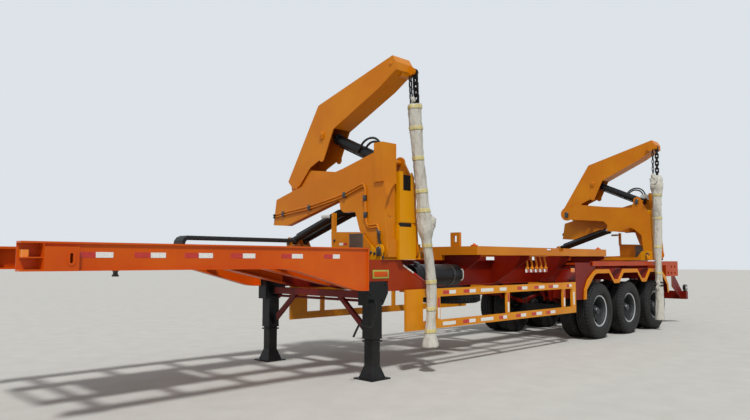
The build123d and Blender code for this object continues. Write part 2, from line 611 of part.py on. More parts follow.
def tyre(x, y_centre, z):
    """A radial truck tyre: a flat tread band and bulged walls, in facets about its axle."""
    half = TYRE_W / 2
    bore = (RIM_R + 0.05) / math.cos(math.pi / TYRE_FACETS)
    outline = [
        (bore, half - 40), (RIM_R + 100, half), (TYRE_R, half - 40),
        (TYRE_R, -half + 40), (RIM_R + 100, -half), (bore, -half + 40),
    ]
    return Pos(x, y_centre, z) * faceted_ring(outline, TYRE_FACETS)


def wheel_y(side):
    outer = TYRE_OUTER_Y - TYRE_W / 2
    return [side * outer, side * (outer - TWIN_PITCH)]


def wheel_pair(index, side):
    """The two tyres of one end of an axle, and the rims and hub that carry them."""
    x = axle_x(index)
    ys = wheel_y(side)
    tyres = Compound([tyre(x, y, AXLE_Z) for y in ys])
    half = TYRE_W / 2 - 40
    disc_y = TYRE_OUTER_Y - TYRE_W / 2 - TWIN_PITCH / 2
    outline = [
        (SPINDLE_R + HUB_BORE_CLEAR, disc_y - 130), (HUB_R - 30, disc_y - 130), (HUB_R - 30, disc_y - 16),
        (RIM_R - RIM_WALL, disc_y - 16), (RIM_R - RIM_WALL, ys[1] * side - half),
        (RIM_R, ys[1] * side - half), (RIM_R, ys[0] * side + half), (RIM_R - RIM_WALL - 10, ys[0] * side + half),
        (RIM_R - RIM_WALL - 30, ys[0] * side + half - 60), (RIM_R - 60, disc_y + 16),
        (HUB_R, disc_y + 16), (HUB_R - 20, disc_y + 130), (HUB_R - 70, disc_y + 190),
        (SPINDLE_R + HUB_BORE_CLEAR, disc_y + 190),
    ]
    body = revolve(Plane.XY * Polygon(*outline, align=None), Axis.Y)
    if side < 0:
        body = mirror(body, Plane.XZ)
    return tyres, Pos(x, 0, AXLE_Z) * body


def tank():
    body = Pos(TANK_X, TANK_Y, TANK_Z) * Rot(0, 90, 0) * Cylinder(TANK_R, TANK_L)
    body = chamfer(body.edges().filter_by(GeomType.CIRCLE), 30, 60)
    brackets = [
        box(x - 25, x + 25, BEAM_Y + BEAM_WEB / 2, TANK_Y, TANK_Z - 30, TANK_Z + 30)
        for x in (TANK_X - 320, TANK_X + 320)
    ]
    return body + brackets


def spare_wheel():
    body = Rot(90, 0, 0) * tyre(0, 0, 0)
    z = SPARE_TOP_Z - TYRE_W / 2
    rim = Pos(0, 0, 0) * Cylinder(RIM_R, TYRE_W - 80) - Pos(0, 0, 20) * Cylinder(RIM_R - 20, TYRE_W - 80)
    return Compound([Pos(SPARE_X, 0, z) * body]), Compound([Pos(SPARE_X, 0, z) * rim])


def spare_carrier():
    top = BEAM_BOTTOM_Z
    z = SPARE_TOP_Z - TYRE_W / 2
    stem = box(SPARE_X - 40, SPARE_X + 40, -40, 40, z + 40 - (TYRE_W - 80) / 2, top)
    beam = box(SPARE_X - 40, SPARE_X + 40, -BEAM_Y - 60, BEAM_Y + 60, top - 22, top)
    return stem + beam


def rear_frame():
    """Tail cross member, lamp brackets on both sides and the low bumper on its struts."""
    z1 = DECK_Z - 20
    z0 = z1 - LAMP_BRACKET_H
    shape = box(REAR_X - 20, REAR_X, -HALF_WIDTH, HALF_WIDTH, z0, z1)
    for side in (1, -1):
        y_in, y_out = side * (HALF_WIDTH - 16), side * HALF_WIDTH
        plate = box(REAR_X - 20, REAR_X + REAR_PLATE_L, y_in, y_out, z0, z1)
        plate += box(REAR_X - 20, REAR_RAIL_X, y_in, y_out, z1 - REAR_RAIL_H, z1)
        plate += box(REAR_X - 20, REAR_RAIL_X, side * (HALF_WIDTH - 70), y_out, z1 - 12, z1)
        for index in range(AXLE_COUNT):
            x = axle_x(index)
            plate += box(x - 30, x + 30, side * (BEAM_Y + BEAM_WEB / 2), y_in, z1 - 70, z1 - 30)
        for back, height in REAR_HOLES:
            x = REAR_X - back
            plate -= round_y(x, z0 + height * (z1 - z0), side * (HALF_WIDTH - 40), side * (HALF_WIDTH + 10), REAR_HOLE_R)
        shape += plate
        strut = [
            (REAR_X - 20, z0 + 60), (REAR_X - 20, z0), (REAR_X - 20, BUMPER_Z + BUMPER_H + 120),
            (BUMPER_X + 60, BUMPER_Z + 20), (BUMPER_X + 60, BUMPER_Z + BUMPER_H), (BUMPER_X, BUMPER_Z + BUMPER_H),
            (REAR_X - 120, z0 + 60),
        ]
        y = side * (BEAM_Y + 60)
        shape += side_slab(strut, y - 8, y + 8)
        y = side * (HALF_WIDTH - 150)
        shape += side_slab(strut, y - 8, y + 8)
    shape += box(BUMPER_X - 60, BUMPER_X + 60, -HALF_WIDTH + 30, HALF_WIDTH - 30, BUMPER_Z, BUMPER_Z + BUMPER_H)
    return shape


def lamps():
    z = DECK_Z - 190
    pieces = []
    for side in (1, -1):
        for y in (760, 880, 1000):
            pieces.append(Pos(REAR_X - 32, side * y, z) * Rot(0, 90, 0) * Cylinder(50, 24))
        pieces.append(round_y(BUMPER_X, BUMPER_Z + BUMPER_H + 80, side * (HALF_WIDTH - 100), side * (HALF_WIDTH - 40), 80))
    for side in (1, -1):
        pieces.append(box(FRONT_X - 70, FRONT_X - 20, side * 1120, side * 1190, CORNER_SHELF_Z + 10, CORNER_SHELF_Z + 70))
    return Compound(pieces)


def energy_chain():
    """The flat cable carrier that feeds the front crane, with its loop on the gooseneck."""
    y0, y1 = CARRIER_Y
    low = NECK_TOP_Z - FLANGE_T
    outer = CARRIER_H / 2
    inner = outer - CARRIER_T
    runs = box(CARRIER_REAR_X, CARRIER_BEND_X, y0, y1, low, low + CARRIER_T)
    runs += box(CARRIER_REAR_X, CARRIER_BEND_X, y0, y1, low + CARRIER_H - CARRIER_T, low + CARRIER_H)
    bend = round_y(CARRIER_BEND_X, low + outer, y0, y1, outer) - round_y(CARRIER_BEND_X, low + outer, y0, y1, inner)
    return runs + (bend - box(CARRIER_BEND_X - 500, CARRIER_BEND_X, y0, y1, low, low + CARRIER_H))


# Cranes
def local(outline, d0, d1):
    """A plate with its outline in (Y, Z), between two depths behind a crane's outboard face."""
    return cross_slab(outline, -d1, -d0)


def local_box(d0, d1, y0, y1, z0, z1):
    """A block between two depths behind a crane's outboard face."""
    return box(-d1, -d0, y0, y1, z0, z1)


def local_round(centre, radius, d0, d1):
    """A pin or tube across a crane, between two depths."""
    return round_x(-d1, -d0, centre, radius)


def arm_face(points, *bosses):
    """An outline in (Y, Z) with round bosses, each given as its centre and radius."""
    face = Polygon(*points, align=None)
    for centre, radius in bosses:
        face += Pos(*centre) * Circle(radius)
    return face


def inner_arm():
    """The swinging frame: a deep outboard panel, a leg box and two profiled plates."""
    heel = (ARM_PIVOT, ARM_END_R)
    panel = arm_face(PANEL, heel)
    leg = arm_face(LEG, heel)
    plate = arm_face(PLATE, heel, (BOOM_PIVOT, BOOM_END_R), (FOLD_BASE, 85), (LIFT_HEAD, 78))
    shape = local(panel, 0, PANEL_DEPTH) + local(leg, PANEL_DEPTH, LEG_DEPTH)
    shape += local_box(-30, LEG_DEPTH, END_BOX_Y, 1190, 2505, 3020)
    for depth in PLATE_DEPTHS:
        shape += local(plate, depth, depth + PLATE_T)
    for centre in ARM_TUBES:
        shape += local_round(centre, ARM_TUBE_R, PANEL_DEPTH - 1, PLATE_DEPTHS[1] + 1)
    shape += local_round(BOOM_PIVOT, BOOM_PIN_R, BOOM_DEPTH[0] - 12, PLATE_DEPTHS[1] + PLATE_T + 12)
    shape += local_round(FOLD_BASE, FOLD_PIN_R, PLATE_DEPTHS[0] - 12, PLATE_DEPTHS[1] + PLATE_T + 12)
    shape = shape - cheek_recess() + cheek_plate()
    return shape - local_round(ARM_PIVOT, ARM_PIN_R + PIN_CLEAR, -60, 700)


def cheek_recess():
    """The hollow in the arm's outer side, drawn in (depth, Z) with a curved front edge."""
    deep = [(-d, z) for d, z in CHEEK]
    edge = Polyline(*deep[1:]) + ThreePointArc(deep[-1], (-CHEEK_MID[0], CHEEK_MID[1]), deep[0]) + Line(deep[0], deep[1])
    face = make_face(edge)
    upper = extrude(Plane.XZ.offset(-CHEEK_Y) * face, 200, dir=(0, 1, 0))
    lower = side_slab([(-CHEEK_DEPTH, 1500), (-CHEEK_DEPTH, CHEEK_LOW_Z), (-14, CHEEK_LOW_Z), (-24, 1500)],
                      CHEEK_LOW_Y, CHEEK_LOW_Y + 200)
    return upper + lower


def cheek_plate():
    """A stiffener that stands in the recess, round above and straight below."""
    low = [(-36, CHEEK_LOW_Z), (-208, CHEEK_LOW_Z), (-200, CHEEK_TOP_Z - 84), (-32, CHEEK_TOP_Z - 84)]
    plate = Polygon(*low, align=None) + Pos(-116, CHEEK_TOP_Z - 84) * Circle(84)
    boss = Pos(-116, CHEEK_TOP_Z - 84) * Circle(34)
    body = extrude(Plane.XZ.offset(-(CHEEK_Y - 4)) * plate, 16, dir=(0, 1, 0))
    return body + extrude(Plane.XZ.offset(-(CHEEK_Y - 4)) * boss, 24, dir=(0, 1, 0))


def outer_arm(chain_depth):
    """The cranked arm: two plates with flanges, open below where the cylinder enters."""
    d0, d1 = BOOM_DEPTH
    face = arm_face(BOOM)
    shape = local(face, d0, d0 + BOOM_PLATE) + local(face, d1 - BOOM_PLATE, d1)
    core = face - offset(face, -FLANGE_T, kind=Kind.INTERSECTION)
    core -= Polygon(*BOOM_MOUTH, align=None)
    shape += local(core, d0 + BOOM_PLATE, d1 - BOOM_PLATE)
    for centre in (FOLD_HEAD, (-200, 2983)):
        for depth in (d0 - 8, d1):
            shape += local_round(centre, 58, depth, depth + 8)
    y, z = TIP
    lug = arm_face([(y - 210, z - 30), (y - 130, z + 130), (y + 15, z + 40), (y + 35, z), (y + 15, z - 32),
                    (y - 70, z - 30)])
    for side in (-1, 1):
        low = chain_depth + side * CHAIN_SLOT / 2
        shape += local(lug, min(low, low + side * LUG_T), max(low, low + side * LUG_T))
    carrier = [(y - 180, z - 60), (y - 180, z + 120), (y - 98, z + 100), (y - 70, z), (y - 90, z - 60)]
    shape += local(carrier, d1 - 200, chain_depth + CHAIN_SLOT / 2 + LUG_T)
    slot = CHAIN_SLOT / 2 + LUG_T + 6
    shape += local_round(TIP, CHAIN_PIN_R, chain_depth - slot, chain_depth + slot)
    return shape - local_round(BOOM_PIVOT, BOOM_PIN_R + PIN_CLEAR, d0 - 20, d1 + 20)


def unit(a, b):
    length = math.dist(a, b)
    return (b[0] - a[0]) / length, (b[1] - a[1]) / length


def tube_between(depth, a, b, start, end, radius):
    """A round bar in the plane of the arms, from start to end along the line from a to b."""
    dy, dz = unit(a, b)
    plane = Plane(origin=(-depth, a[0] + dy * start, a[1] + dz * start), x_dir=(1, 0, 0), z_dir=(0, dy, dz))
    return extrude(plane * Circle(radius), end - start, dir=(0, dy, dz))


def ram(depth, base, head, radius, rod_radius, base_pin, head_pin, eye_w):
    """A hydraulic cylinder in two pieces: the barrel with its base eye, and the rod with its head eye."""
    length = math.dist(base, head)
    barrel_end = length - 170
    start = base_pin + 50
    barrel = tube_between(depth, base, head, base_pin + 12, barrel_end, radius)
    barrel += local_round(base, base_pin + 24, depth - eye_w / 2, depth + eye_w / 2)
    barrel -= tube_between(depth, base, head, start, barrel_end + 1, rod_radius + ROD_CLEAR)
    barrel -= local_round(base, base_pin + PIN_CLEAR, depth - eye_w, depth + eye_w)
    rod = tube_between(depth, base, head, start + 20, length, rod_radius)
    rod += local_round(head, head_pin + 24, depth - eye_w / 2, depth + eye_w / 2)
    return barrel, rod


def crane_base():
    """The sliding module: a tray on the beams, pivot plates, cylinder lugs and the column."""
    top = DECK_Z + BASE_FLOOR_T
    d0, d1 = COLUMN_DEPTH
    y0, y1 = COLUMN_Y
    shape = local_box(-40, 650, -1150, 1100, DECK_Z, top) + local_box(-40, 650, 1100, 1180, DECK_Z, top)
    outboard = arm_face(BASE_OUTBOARD, (ARM_PIVOT, 75))
    inboard = arm_face(BASE_INBOARD, (ARM_PIVOT, 95))
    y_in, y_out, z_in, z_out = LOUVRE
    shape += local(outboard, -40, -20) + local(inboard, 630, 650)
    shape -= local_box(-41, -19, y_in, y_out, z_in, z_out)
    step = (z_out - z_in) / LOUVRE_SLATS
    for index in range(LOUVRE_SLATS):
        z = z_in + index * step
        slat = [(38, z - 1), (38, z + 4), (22, z + step - 3), (22, z + step - 8)]
        shape += side_slab(slat, y_in - 1, y_out + 1)
    shape += local_box(-40, 20, POST_Y, POST_Y + 42, 1850, POST_TOP_Z)
    shape += local_box(-20, 630, -1150, -1130, top, 1560)
    for depth in LIFT_LUGS:
        shape += local(arm_face(LIFT_LUG, (LIFT_BASE, 55)), depth, depth + LUG_T)
    shape += local_round(LIFT_BASE, LIFT_PIN_R, LIFT_LUGS[0] - 8, LIFT_LUGS[-1] + LUG_T + 8)
    for depth, thick in ((d0 - 30, 30), (d1, 25)):
        shape += local(arm_face(PIVOT_BLOCK), depth, depth + thick)
    shape += local_box(d0, d1, y0, y1, DECK_Z, STAB_TOP_Z)
    shape -= local_box(d0 + STAB_WALL, d1 - STAB_WALL, y0 + STAB_WALL, y1 - STAB_WALL, DECK_Z - 1, STAB_TOP_Z + 1)
    shape -= local_box(d0 + 60, d1 - 60, y1 - STAB_WALL - 1, y1 + 1, STAB_TOP_Z - 250, STAB_TOP_Z + 1)
    corner = [(-d1 - 1, STAB_TOP_Z - 70), (-d1 - 1, STAB_TOP_Z + 1), (-d1 + 40, STAB_TOP_Z + 1)]
    shape -= side_slab(corner, y0 - 1, y1 + 1)
    sleeve = local_box(d0 - 30, d1 + 10, y0, y1 + SLEEVE_T, DECK_Z, SLEEVE_TOP_Z)
    sleeve += local_box(d0 - 1, d1 + 6, y0, y1 + 8, SLEEVE_TOP_Z + SLEEVE_GAP, SLEEVE_TOP_Z + SLEEVE_GAP + 60)
    shape += sleeve - local_box(d0 + 1, d1 - 1, y0 + 1, y1 - 1, DECK_Z - 1, STAB_TOP_Z)
    shape += local_round(ARM_PIVOT, ARM_PIN_R, -46, d0 - 1)
    shape += local_round(ARM_PIVOT, ARM_PIN_R, d1 + 1, 656)
    return shape


def stabiliser():
    """The telescopic leg, stowed inside the column, with its foot."""
    d0, d1 = COLUMN_DEPTH
    y0, y1 = COLUMN_Y
    w = STAB_WALL
    return local_box(d0 + w, d1 - w, y0 + w, y1 - w, DECK_Z + 5, STAB_TOP_Z - 40)


def link(standing):
    """One chain link as a bent square bar; a standing one lies in the plane of the arms."""
    half_l, half_w, wire = CHAIN_LINK_L / 2, CHAIN_LINK_W / 2, CHAIN_WIRE
    cut = 20
    outer = [(half_w - cut, half_l), (half_w, half_l - cut), (half_w, -half_l + cut), (half_w - cut, -half_l),
             (-half_w + cut, -half_l), (-half_w, -half_l + cut), (-half_w, half_l - cut), (-half_w + cut, half_l)]
    inner = [(x * (half_w - wire) / half_w, z * (half_l - wire) / half_l) for x, z in outer]
    face = Polygon(*outer, align=None) - Polygon(*inner, align=None)
    body = extrude(Plane.XZ * face, wire / 2, both=True)
    return Rot(0, 0, 90 if standing else 0) * body


def chain_and_wrap(top_depth, low_depth, wrap_top, wrap_bottom, radii):
    """Links that hang from the tip's pin, and the sleeve round the rest of the bundle."""
    top_z = TIP[1] + CHAIN_PIN_R + 0.3 - (CHAIN_LINK_L / 2 - CHAIN_WIRE)
    slope = (low_depth - top_depth) / (top_z - wrap_bottom)
    links = []
    index = 0
    z = top_z
    while z > wrap_top - 30:
        links.append(Pos(-top_depth - (top_z - z) * slope, TIP[0], z) * link(index % 2 == 0))
        index += 1
        z = top_z - index * CHAIN_PITCH
    bundle = Compound(links)
    x_top = -top_depth - (top_z - wrap_top) * slope
    direction = Vector(-(low_depth - top_depth), 0, -(top_z - wrap_bottom)).normalized()
    plane = Plane(origin=(x_top, TIP[0], wrap_top), x_dir=(0, 1, 0), z_dir=direction)
    length = (wrap_top - wrap_bottom) / -direction.Z
    steps = [length * i / (len(radii) - 1) for i in range(len(radii))]
    outline = [(0, 0)] + [(r, s) for r, s in zip(radii, steps)] + [(0, length)]
    sleeve = revolve(Plane.XZ * Polygon(*outline, align=None), Axis.Z)
    sleeve = plane.location * sleeve
    return bundle, sleeve - bundle


def crane(name, x_face, mirrored, chain_depths, wrap_top, wrap_bottom, radii):
    def put(node, shape):
        placed = mirror(shape, Plane.YZ) if mirrored else shape
        save(f"{name}_{node}", Pos(x_face, 0, 0) * placed)

    put("module", crane_base())
    put("inner_arm", inner_arm())
    put("outer_arm", outer_arm(chain_depths[0]))
    barrels, rods = [], []
    for depth in LIFT_DEPTHS:
        barrel, rod = ram(depth, LIFT_BASE, LIFT_HEAD, LIFT_R, LIFT_ROD_R, LIFT_PIN_R, LIFT_PIN_R, LIFT_EYE_W)
        barrels.append(barrel)
        rods.append(rod)
    pin = local_round(LIFT_HEAD, LIFT_PIN_R, PLATE_DEPTHS[0] + PLATE_T + 5, PLATE_DEPTHS[1] - 5)
    put("lift_barrels", Compound(barrels))
    put("lift_rods", rods[0] + rods[1] + pin)
    middle = sum(BOOM_DEPTH) / 2
    barrel, rod = ram(middle, FOLD_BASE, FOLD_HEAD, FOLD_R, FOLD_ROD_R, FOLD_PIN_R, FOLD_PIN_R, FOLD_EYE_W)
    inside = (BOOM_DEPTH[0] + BOOM_PLATE + 5, BOOM_DEPTH[1] - BOOM_PLATE - 5)
    put("boom_barrel", barrel)
    put("boom_rod", rod + local_round(FOLD_HEAD, FOLD_PIN_R, *inside))
    put("stabiliser", stabiliser())
    links, sleeve = chain_and_wrap(*chain_depths, wrap_top, wrap_bottom, radii)
    put("chain", links)
    put("chain_wrap", sleeve)


def main():
    save("main_beams", main_beams())
    save("gooseneck_beams", gooseneck_beams())
    save("coupler_plate", coupler_plate())
    save("kingpin", kingpin())
    save("cross_members", cross_members())
    save("outriggers", outriggers())
    save("container_rails", container_rails())
    save("twistlocks", twistlocks())
    save("side_guard_left", guard(1))
    save("side_guard_right", guard(-1))
    save("landing_legs", landing_legs())
    save("axles", axles())
    save("suspension", suspension())
    save("fenders", fenders())
    save("tank", tank())
    tyre_body, rim_body = spare_wheel()
    save("spare_tyre", tyre_body)
    save("spare_rim", rim_body)
    save("spare_carrier", spare_carrier())
    save("rear_frame", rear_frame())
    save("lamps", lamps())
    save("energy_chain", energy_chain())
    for index in range(AXLE_COUNT):
        for side, label in ((1, "left"), (-1, "right")):
            tyres, rims = wheel_pair(index, side)
            save(f"tyres_{index + 1}_{label}", tyres)
            save(f"rims_{index + 1}_{label}", rims)
    crane("front", FRONT_CRANE_X, False, FRONT_CHAIN, *FRONT_WRAP, FRONT_SLEEVE)
    crane("rear", REAR_CRANE_X, True, REAR_CHAIN, *REAR_WRAP, REAR_SLEEVE)


main()
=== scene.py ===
"""Looks of a sidelifter trailer: finishes, tread, tape, hoses and small fittings on the CAD frame."""

from __future__ import annotations

import json
import logging
import math
from dataclasses import dataclass
from enum import Enum
from fnmatch import fnmatch
from typing import Sequence

import bpy
from mathutils import Matrix, Vector, noise

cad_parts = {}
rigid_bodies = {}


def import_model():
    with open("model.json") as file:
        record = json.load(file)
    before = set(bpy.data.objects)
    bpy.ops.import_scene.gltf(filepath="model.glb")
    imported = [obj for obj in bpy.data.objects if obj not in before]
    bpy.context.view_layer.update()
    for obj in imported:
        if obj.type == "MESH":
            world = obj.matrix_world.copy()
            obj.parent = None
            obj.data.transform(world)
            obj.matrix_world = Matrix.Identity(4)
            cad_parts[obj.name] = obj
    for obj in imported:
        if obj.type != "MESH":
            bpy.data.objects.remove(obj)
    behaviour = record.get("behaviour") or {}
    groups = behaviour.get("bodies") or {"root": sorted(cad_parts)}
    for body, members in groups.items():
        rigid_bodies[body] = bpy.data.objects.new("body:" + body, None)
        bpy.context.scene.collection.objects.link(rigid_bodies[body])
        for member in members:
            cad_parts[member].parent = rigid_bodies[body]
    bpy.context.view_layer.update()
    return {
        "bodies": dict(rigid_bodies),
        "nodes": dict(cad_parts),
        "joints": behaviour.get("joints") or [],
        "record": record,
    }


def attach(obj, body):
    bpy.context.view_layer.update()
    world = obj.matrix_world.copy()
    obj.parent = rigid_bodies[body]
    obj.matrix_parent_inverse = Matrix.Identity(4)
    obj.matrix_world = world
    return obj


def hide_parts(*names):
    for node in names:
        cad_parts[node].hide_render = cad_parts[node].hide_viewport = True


LOG = logging.getLogger("sidelifter")
GROUND = -1.39
"""Height of the ground under the kingpin's plate, in metres."""
ORIGIN = (0.0, 0.0, 0.0)
AXLE_XS = tuple(-8.835 - 1.31 * index for index in range(3))
"""X of the three axles, in metres."""

Point = tuple[float, float, float]
Pair = tuple[float, float]
Slab = tuple[Pair, Pair, Pair]


def linear(hex_colour: str) -> tuple[float, float, float, float]:
    """Turn a written sRGB colour into the linear values that shaders take.

    Args:
        hex_colour: Six hexadecimal digits, such as "E07020".

    Returns:
        Red, green, blue and an alpha of 1.
    """
    channels = [int(hex_colour[i:i + 2], 16) / 255 for i in (0, 2, 4)]
    values = [c / 12.92 if c <= 0.04045 else ((c + 0.055) / 1.055) ** 2.4 for c in channels]
    return values[0], values[1], values[2], 1.0


@dataclass(frozen=True)
class Accent:
    """A second colour on the part of a node that lies past a plane across X, Y or Z."""

    colour: str
    axis: str
    level: float
    beyond: bool = True
    sided: bool = False


class Nodes:
    """One node tree and the way that nodes are added to it."""

    def __init__(self, tree: bpy.types.NodeTree) -> None:
        """Take the tree as it is."""
        self.tree = tree

    def feed(self, node: bpy.types.Node, inputs: dict) -> bpy.types.Node:
        """Set a node's inputs, or link them to the outputs of others.

        Args:
            node: Node to feed.
            inputs: A value or an output socket for each input's name or number.

        Returns:
            The node.
        """
        for key, value in inputs.items():
            if isinstance(value, bpy.types.NodeSocket):
                self.tree.links.new(value, node.inputs[key])
            else:
                node.inputs[key].default_value = value
        return node

    def add(self, kind: str, inputs: dict | None = None, **settings: object) -> bpy.types.Node:
        """Add one node with its settings and links.

        Args:
            kind: Blender's own name for the node.
            inputs: A value or an output socket for each input's name or number.
            settings: The node's properties.

        Returns:
            The node.
        """
        node = self.tree.nodes.new(kind)
        for key, value in settings.items():
            setattr(node, key, value)
        return self.feed(node, inputs or {})


class Surface(Nodes):
    """A material in the making: its shader, and patterns in the piece's own metres."""

    colour_edge = 0.0005
    """Half the width of the line where two colours meet, in metres."""

    def __init__(self, name: str) -> None:
        """Start a material with its shader and output."""
        self.material = bpy.data.materials.new(name)
        self.material.use_nodes = True
        super().__init__(self.material.node_tree)
        self.tree.nodes.clear()
        self.shader = self.add("ShaderNodeBsdfPrincipled")
        self.add("ShaderNodeOutputMaterial", {"Surface": self.shader.outputs[0]})
        self.coords = self.add("ShaderNodeTexCoord").outputs["Object"]

    def uneven(self, scale: float, detail: float, levels: Pair = (0.0, 1.0), reach: Pair = (0.0, 1.0),
               stretch: Point = (1.0, 1.0, 1.0), grit: float = 0.55) -> bpy.types.NodeSocket:
        """Make an uneven pattern.

        Args:
            scale: Spots per metre.
            detail: Finer layers on the spots.
            levels: Values of the pattern that become the two ends of the reach.
            reach: Least and greatest value that come out.
            stretch: Factors along X, Y and Z. Less than 1 draws the spots out.
            grit: How much the finer layers count.

        Returns:
            The pattern's value.
        """
        place = self.add("ShaderNodeMapping", {"Vector": self.coords, "Scale": stretch})
        spots = self.add("ShaderNodeTexNoise", {"Vector": place.outputs[0], "Scale": scale, "Detail": detail,
                                                "Roughness": grit})
        ends = {"From Min": levels[0], "From Max": levels[1], "To Min": reach[0], "To Max": reach[1]}
        return self.add("ShaderNodeMapRange", {"Value": spots.outputs["Fac"], **ends}).outputs["Result"]

    def mottled(self, first: str, second: str, scale: float, detail: float, levels: Pair,
                stretch: Point = (1.0, 1.0, 1.0), grit: float = 0.55) -> bpy.types.NodeSocket:
        """Make a colour that turns into a second one in uneven spots.

        Args:
            first: Main colour.
            second: Colour of the spots.
            scale: Spots per metre.
            detail: Finer layers on the spots.
            levels: Values of the pattern between which the colour turns.
            stretch: Factors along X, Y and Z.
            grit: How much the finer layers count.

        Returns:
            The colour.
        """
        spots = self.uneven(scale, detail, levels, stretch=stretch, grit=grit)
        colours = {6: linear(first), 7: linear(second)}
        return self.add("ShaderNodeMix", {0: spots, **colours}, data_type="RGBA").outputs[2]

    def accented(self, body: bpy.types.NodeSocket, accents: Sequence[Accent]) -> bpy.types.NodeSocket:
        """Lay second colours over a colour, each past its plane.

        Args:
            body: The colour so far.
            accents: Colours and their planes.

        Returns:
            The colour with its accents.
        """
        for accent in accents:
            place = self.add("ShaderNodeSeparateXYZ", {0: self.coords}).outputs[accent.axis]
            if accent.sided:
                place = self.add("ShaderNodeMath", {0: place}, operation="ABSOLUTE").outputs[0]
            edge = self.colour_edge if accent.beyond else -self.colour_edge
            ends = {"From Min": accent.level - edge, "From Max": accent.level + edge}
            mask = self.add("ShaderNodeMapRange", {"Value": place, **ends}).outputs["Result"]
            colours = {6: body, 7: linear(accent.colour)}
            body = self.add("ShaderNodeMix", {0: mask, **colours}, data_type="RGBA").outputs[2]
        return body

    def done(self, colour: bpy.types.NodeSocket, relief: bpy.types.NodeSocket, depth: float, strength: float,
             others: dict) -> bpy.types.Material:
        """Feed the shader and hand the material over.

        Args:
            colour: Base colour.
            relief: Height of the skin.
            depth: Depth of that relief in metres.
            strength: How strongly the relief shows, from 0 to 1.
            others: The shader's other inputs.

        Returns:
            The finished material.
        """
        skin = self.add("ShaderNodeBump", {"Distance": depth, "Strength": strength, "Height": relief})
        self.feed(self.shader, {"Base Color": colour, "Normal": skin.outputs["Normal"], **others})
        return self.material


class Slot(Enum):
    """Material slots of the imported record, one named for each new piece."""

    CHASSIS = "chassis_paint"
    CRANE = "crane_paint"
    BLACK = "black_paint"
    TYRE = "tyre_rubber"
    STEEL = "steel"
    CHAIN = "chain_steel"
    WRAP = "wrap_fabric"
    LAMP = "lamp_plastic"


@dataclass(frozen=True)
class Paint:
    """Enamel sprayed on steel plate: a low sheen on a fine orange-peel skin, with sun-faded patches.

    Rain leaves it streaked, and grime dulls it towards the ground.
    """

    name: str
    colour: str
    faded: str
    grime: str
    rough: Pair = (0.32, 0.5)
    grime_top: float = -0.35
    grime_bottom: float = GROUND + 0.1
    grime_amount: float = 0.55
    streak_share: float = 0.16
    shine: float = 0.22
    coat: float = 0.1
    accents: tuple[Accent, ...] = ()

    def soiled(self, surface: Surface, body: bpy.types.NodeSocket) -> bpy.types.NodeSocket:
        """Lay rain streaks and grime over a colour.

        Args:
            surface: The material in the making.
            body: Clean colour.

        Returns:
            The soiled colour.
        """
        # Streaks 110 mm apart and about a metre long, and splashes of 200 mm
        streaks = surface.uneven(9.0, 6.0, (0.5, 0.8), stretch=(1.0, 1.0, 0.12), grit=0.7)
        splashes = surface.uneven(5.0, 8.0, (0.42, 0.62), grit=0.72)
        height = surface.add("ShaderNodeSeparateXYZ", {0: surface.coords}).outputs["Z"]
        ends = {"From Min": self.grime_top, "From Max": self.grime_bottom}
        low = surface.add("ShaderNodeMapRange", {"Value": height, **ends}).outputs["Result"]
        film = surface.add("ShaderNodeMath", {0: low, 1: splashes}, operation="MULTIPLY").outputs[0]
        dirt = surface.add("ShaderNodeMath", {0: streaks, 1: self.streak_share, 2: film},
                           operation="MULTIPLY_ADD").outputs[0]
        amount = surface.add("ShaderNodeMath", {0: dirt, 1: self.grime_amount},
                             operation="MULTIPLY", use_clamp=True).outputs[0]
        colours = {6: body, 7: linear(self.grime)}
        return surface.add("ShaderNodeMix", {0: amount, **colours}, data_type="RGBA").outputs[2]

    def build(self) -> bpy.types.Material:
        """Build the node material.

        Returns:
            The finished material.
        """
        surface = Surface(self.name)
        # Faded patches of about 770 mm
        clean = surface.mottled(self.colour, self.faded, 1.3, 5.0, (0.42, 0.66))
        body = surface.accented(clean, self.accents)
        # Orange peel of 2.4 mm, drawn deeper than the real one so that it shows
        return surface.done(self.soiled(surface, body), surface.uneven(420.0, 2.0), 0.0004, 0.35, {
            "Roughness": surface.uneven(14.0, 6.0, reach=self.rough),
            "Specular IOR Level": self.shine, "Coat Weight": self.coat, "Coat Roughness": 0.3,
        })


@dataclass(frozen=True)
class Metal:
    """Bare or plated metal: sharp reflections, broken by brushed streaks and oily patches."""

    name: str
    colour: str
    stain: str
    rough: Pair = (0.25, 0.5)
    metallic: float = 1.0
    grain: Point = (1.0, 1.0, 1.0)

    def build(self) -> bpy.types.Material:
        """Build the node material.

        Returns:
            The finished material.
        """
        surface = Surface(self.name)
        # Oily patches of 90 mm, brush marks of 11 mm and a 3 mm grain, coarser than real so that they show
        body = surface.mottled(self.colour, self.stain, 11.0, 7.0, (0.45, 0.75), grit=0.65)
        return surface.done(body, surface.uneven(300.0, 3.0, stretch=self.grain), 0.0003, 0.3, {
            "Roughness": surface.uneven(90.0, 3.0, reach=self.rough, stretch=self.grain),
            "Metallic": self.metallic,
        })


@dataclass(frozen=True)
class Rubber:
    """Moulded rubber or tough plastic: a deep matt black with a fine grain, dusty on its walls."""

    name: str
    colour: str
    dust: str
    dust_levels: Pair = (0.45, 0.8)
    rough: Pair = (0.62, 0.86)

    def build(self) -> bpy.types.Material:
        """Build the node material.

        Returns:
            The finished material.
        """
        surface = Surface(self.name)
        # Dust in patches of 140 mm over a 1.4 mm moulded grain
        body = surface.mottled(self.colour, self.dust, 7.0, 8.0, self.dust_levels, grit=0.7)
        return surface.done(body, surface.uneven(700.0, 2.0), 0.0005, 0.4,
                            {"Roughness": surface.uneven(25.0, 4.0, reach=self.rough)})


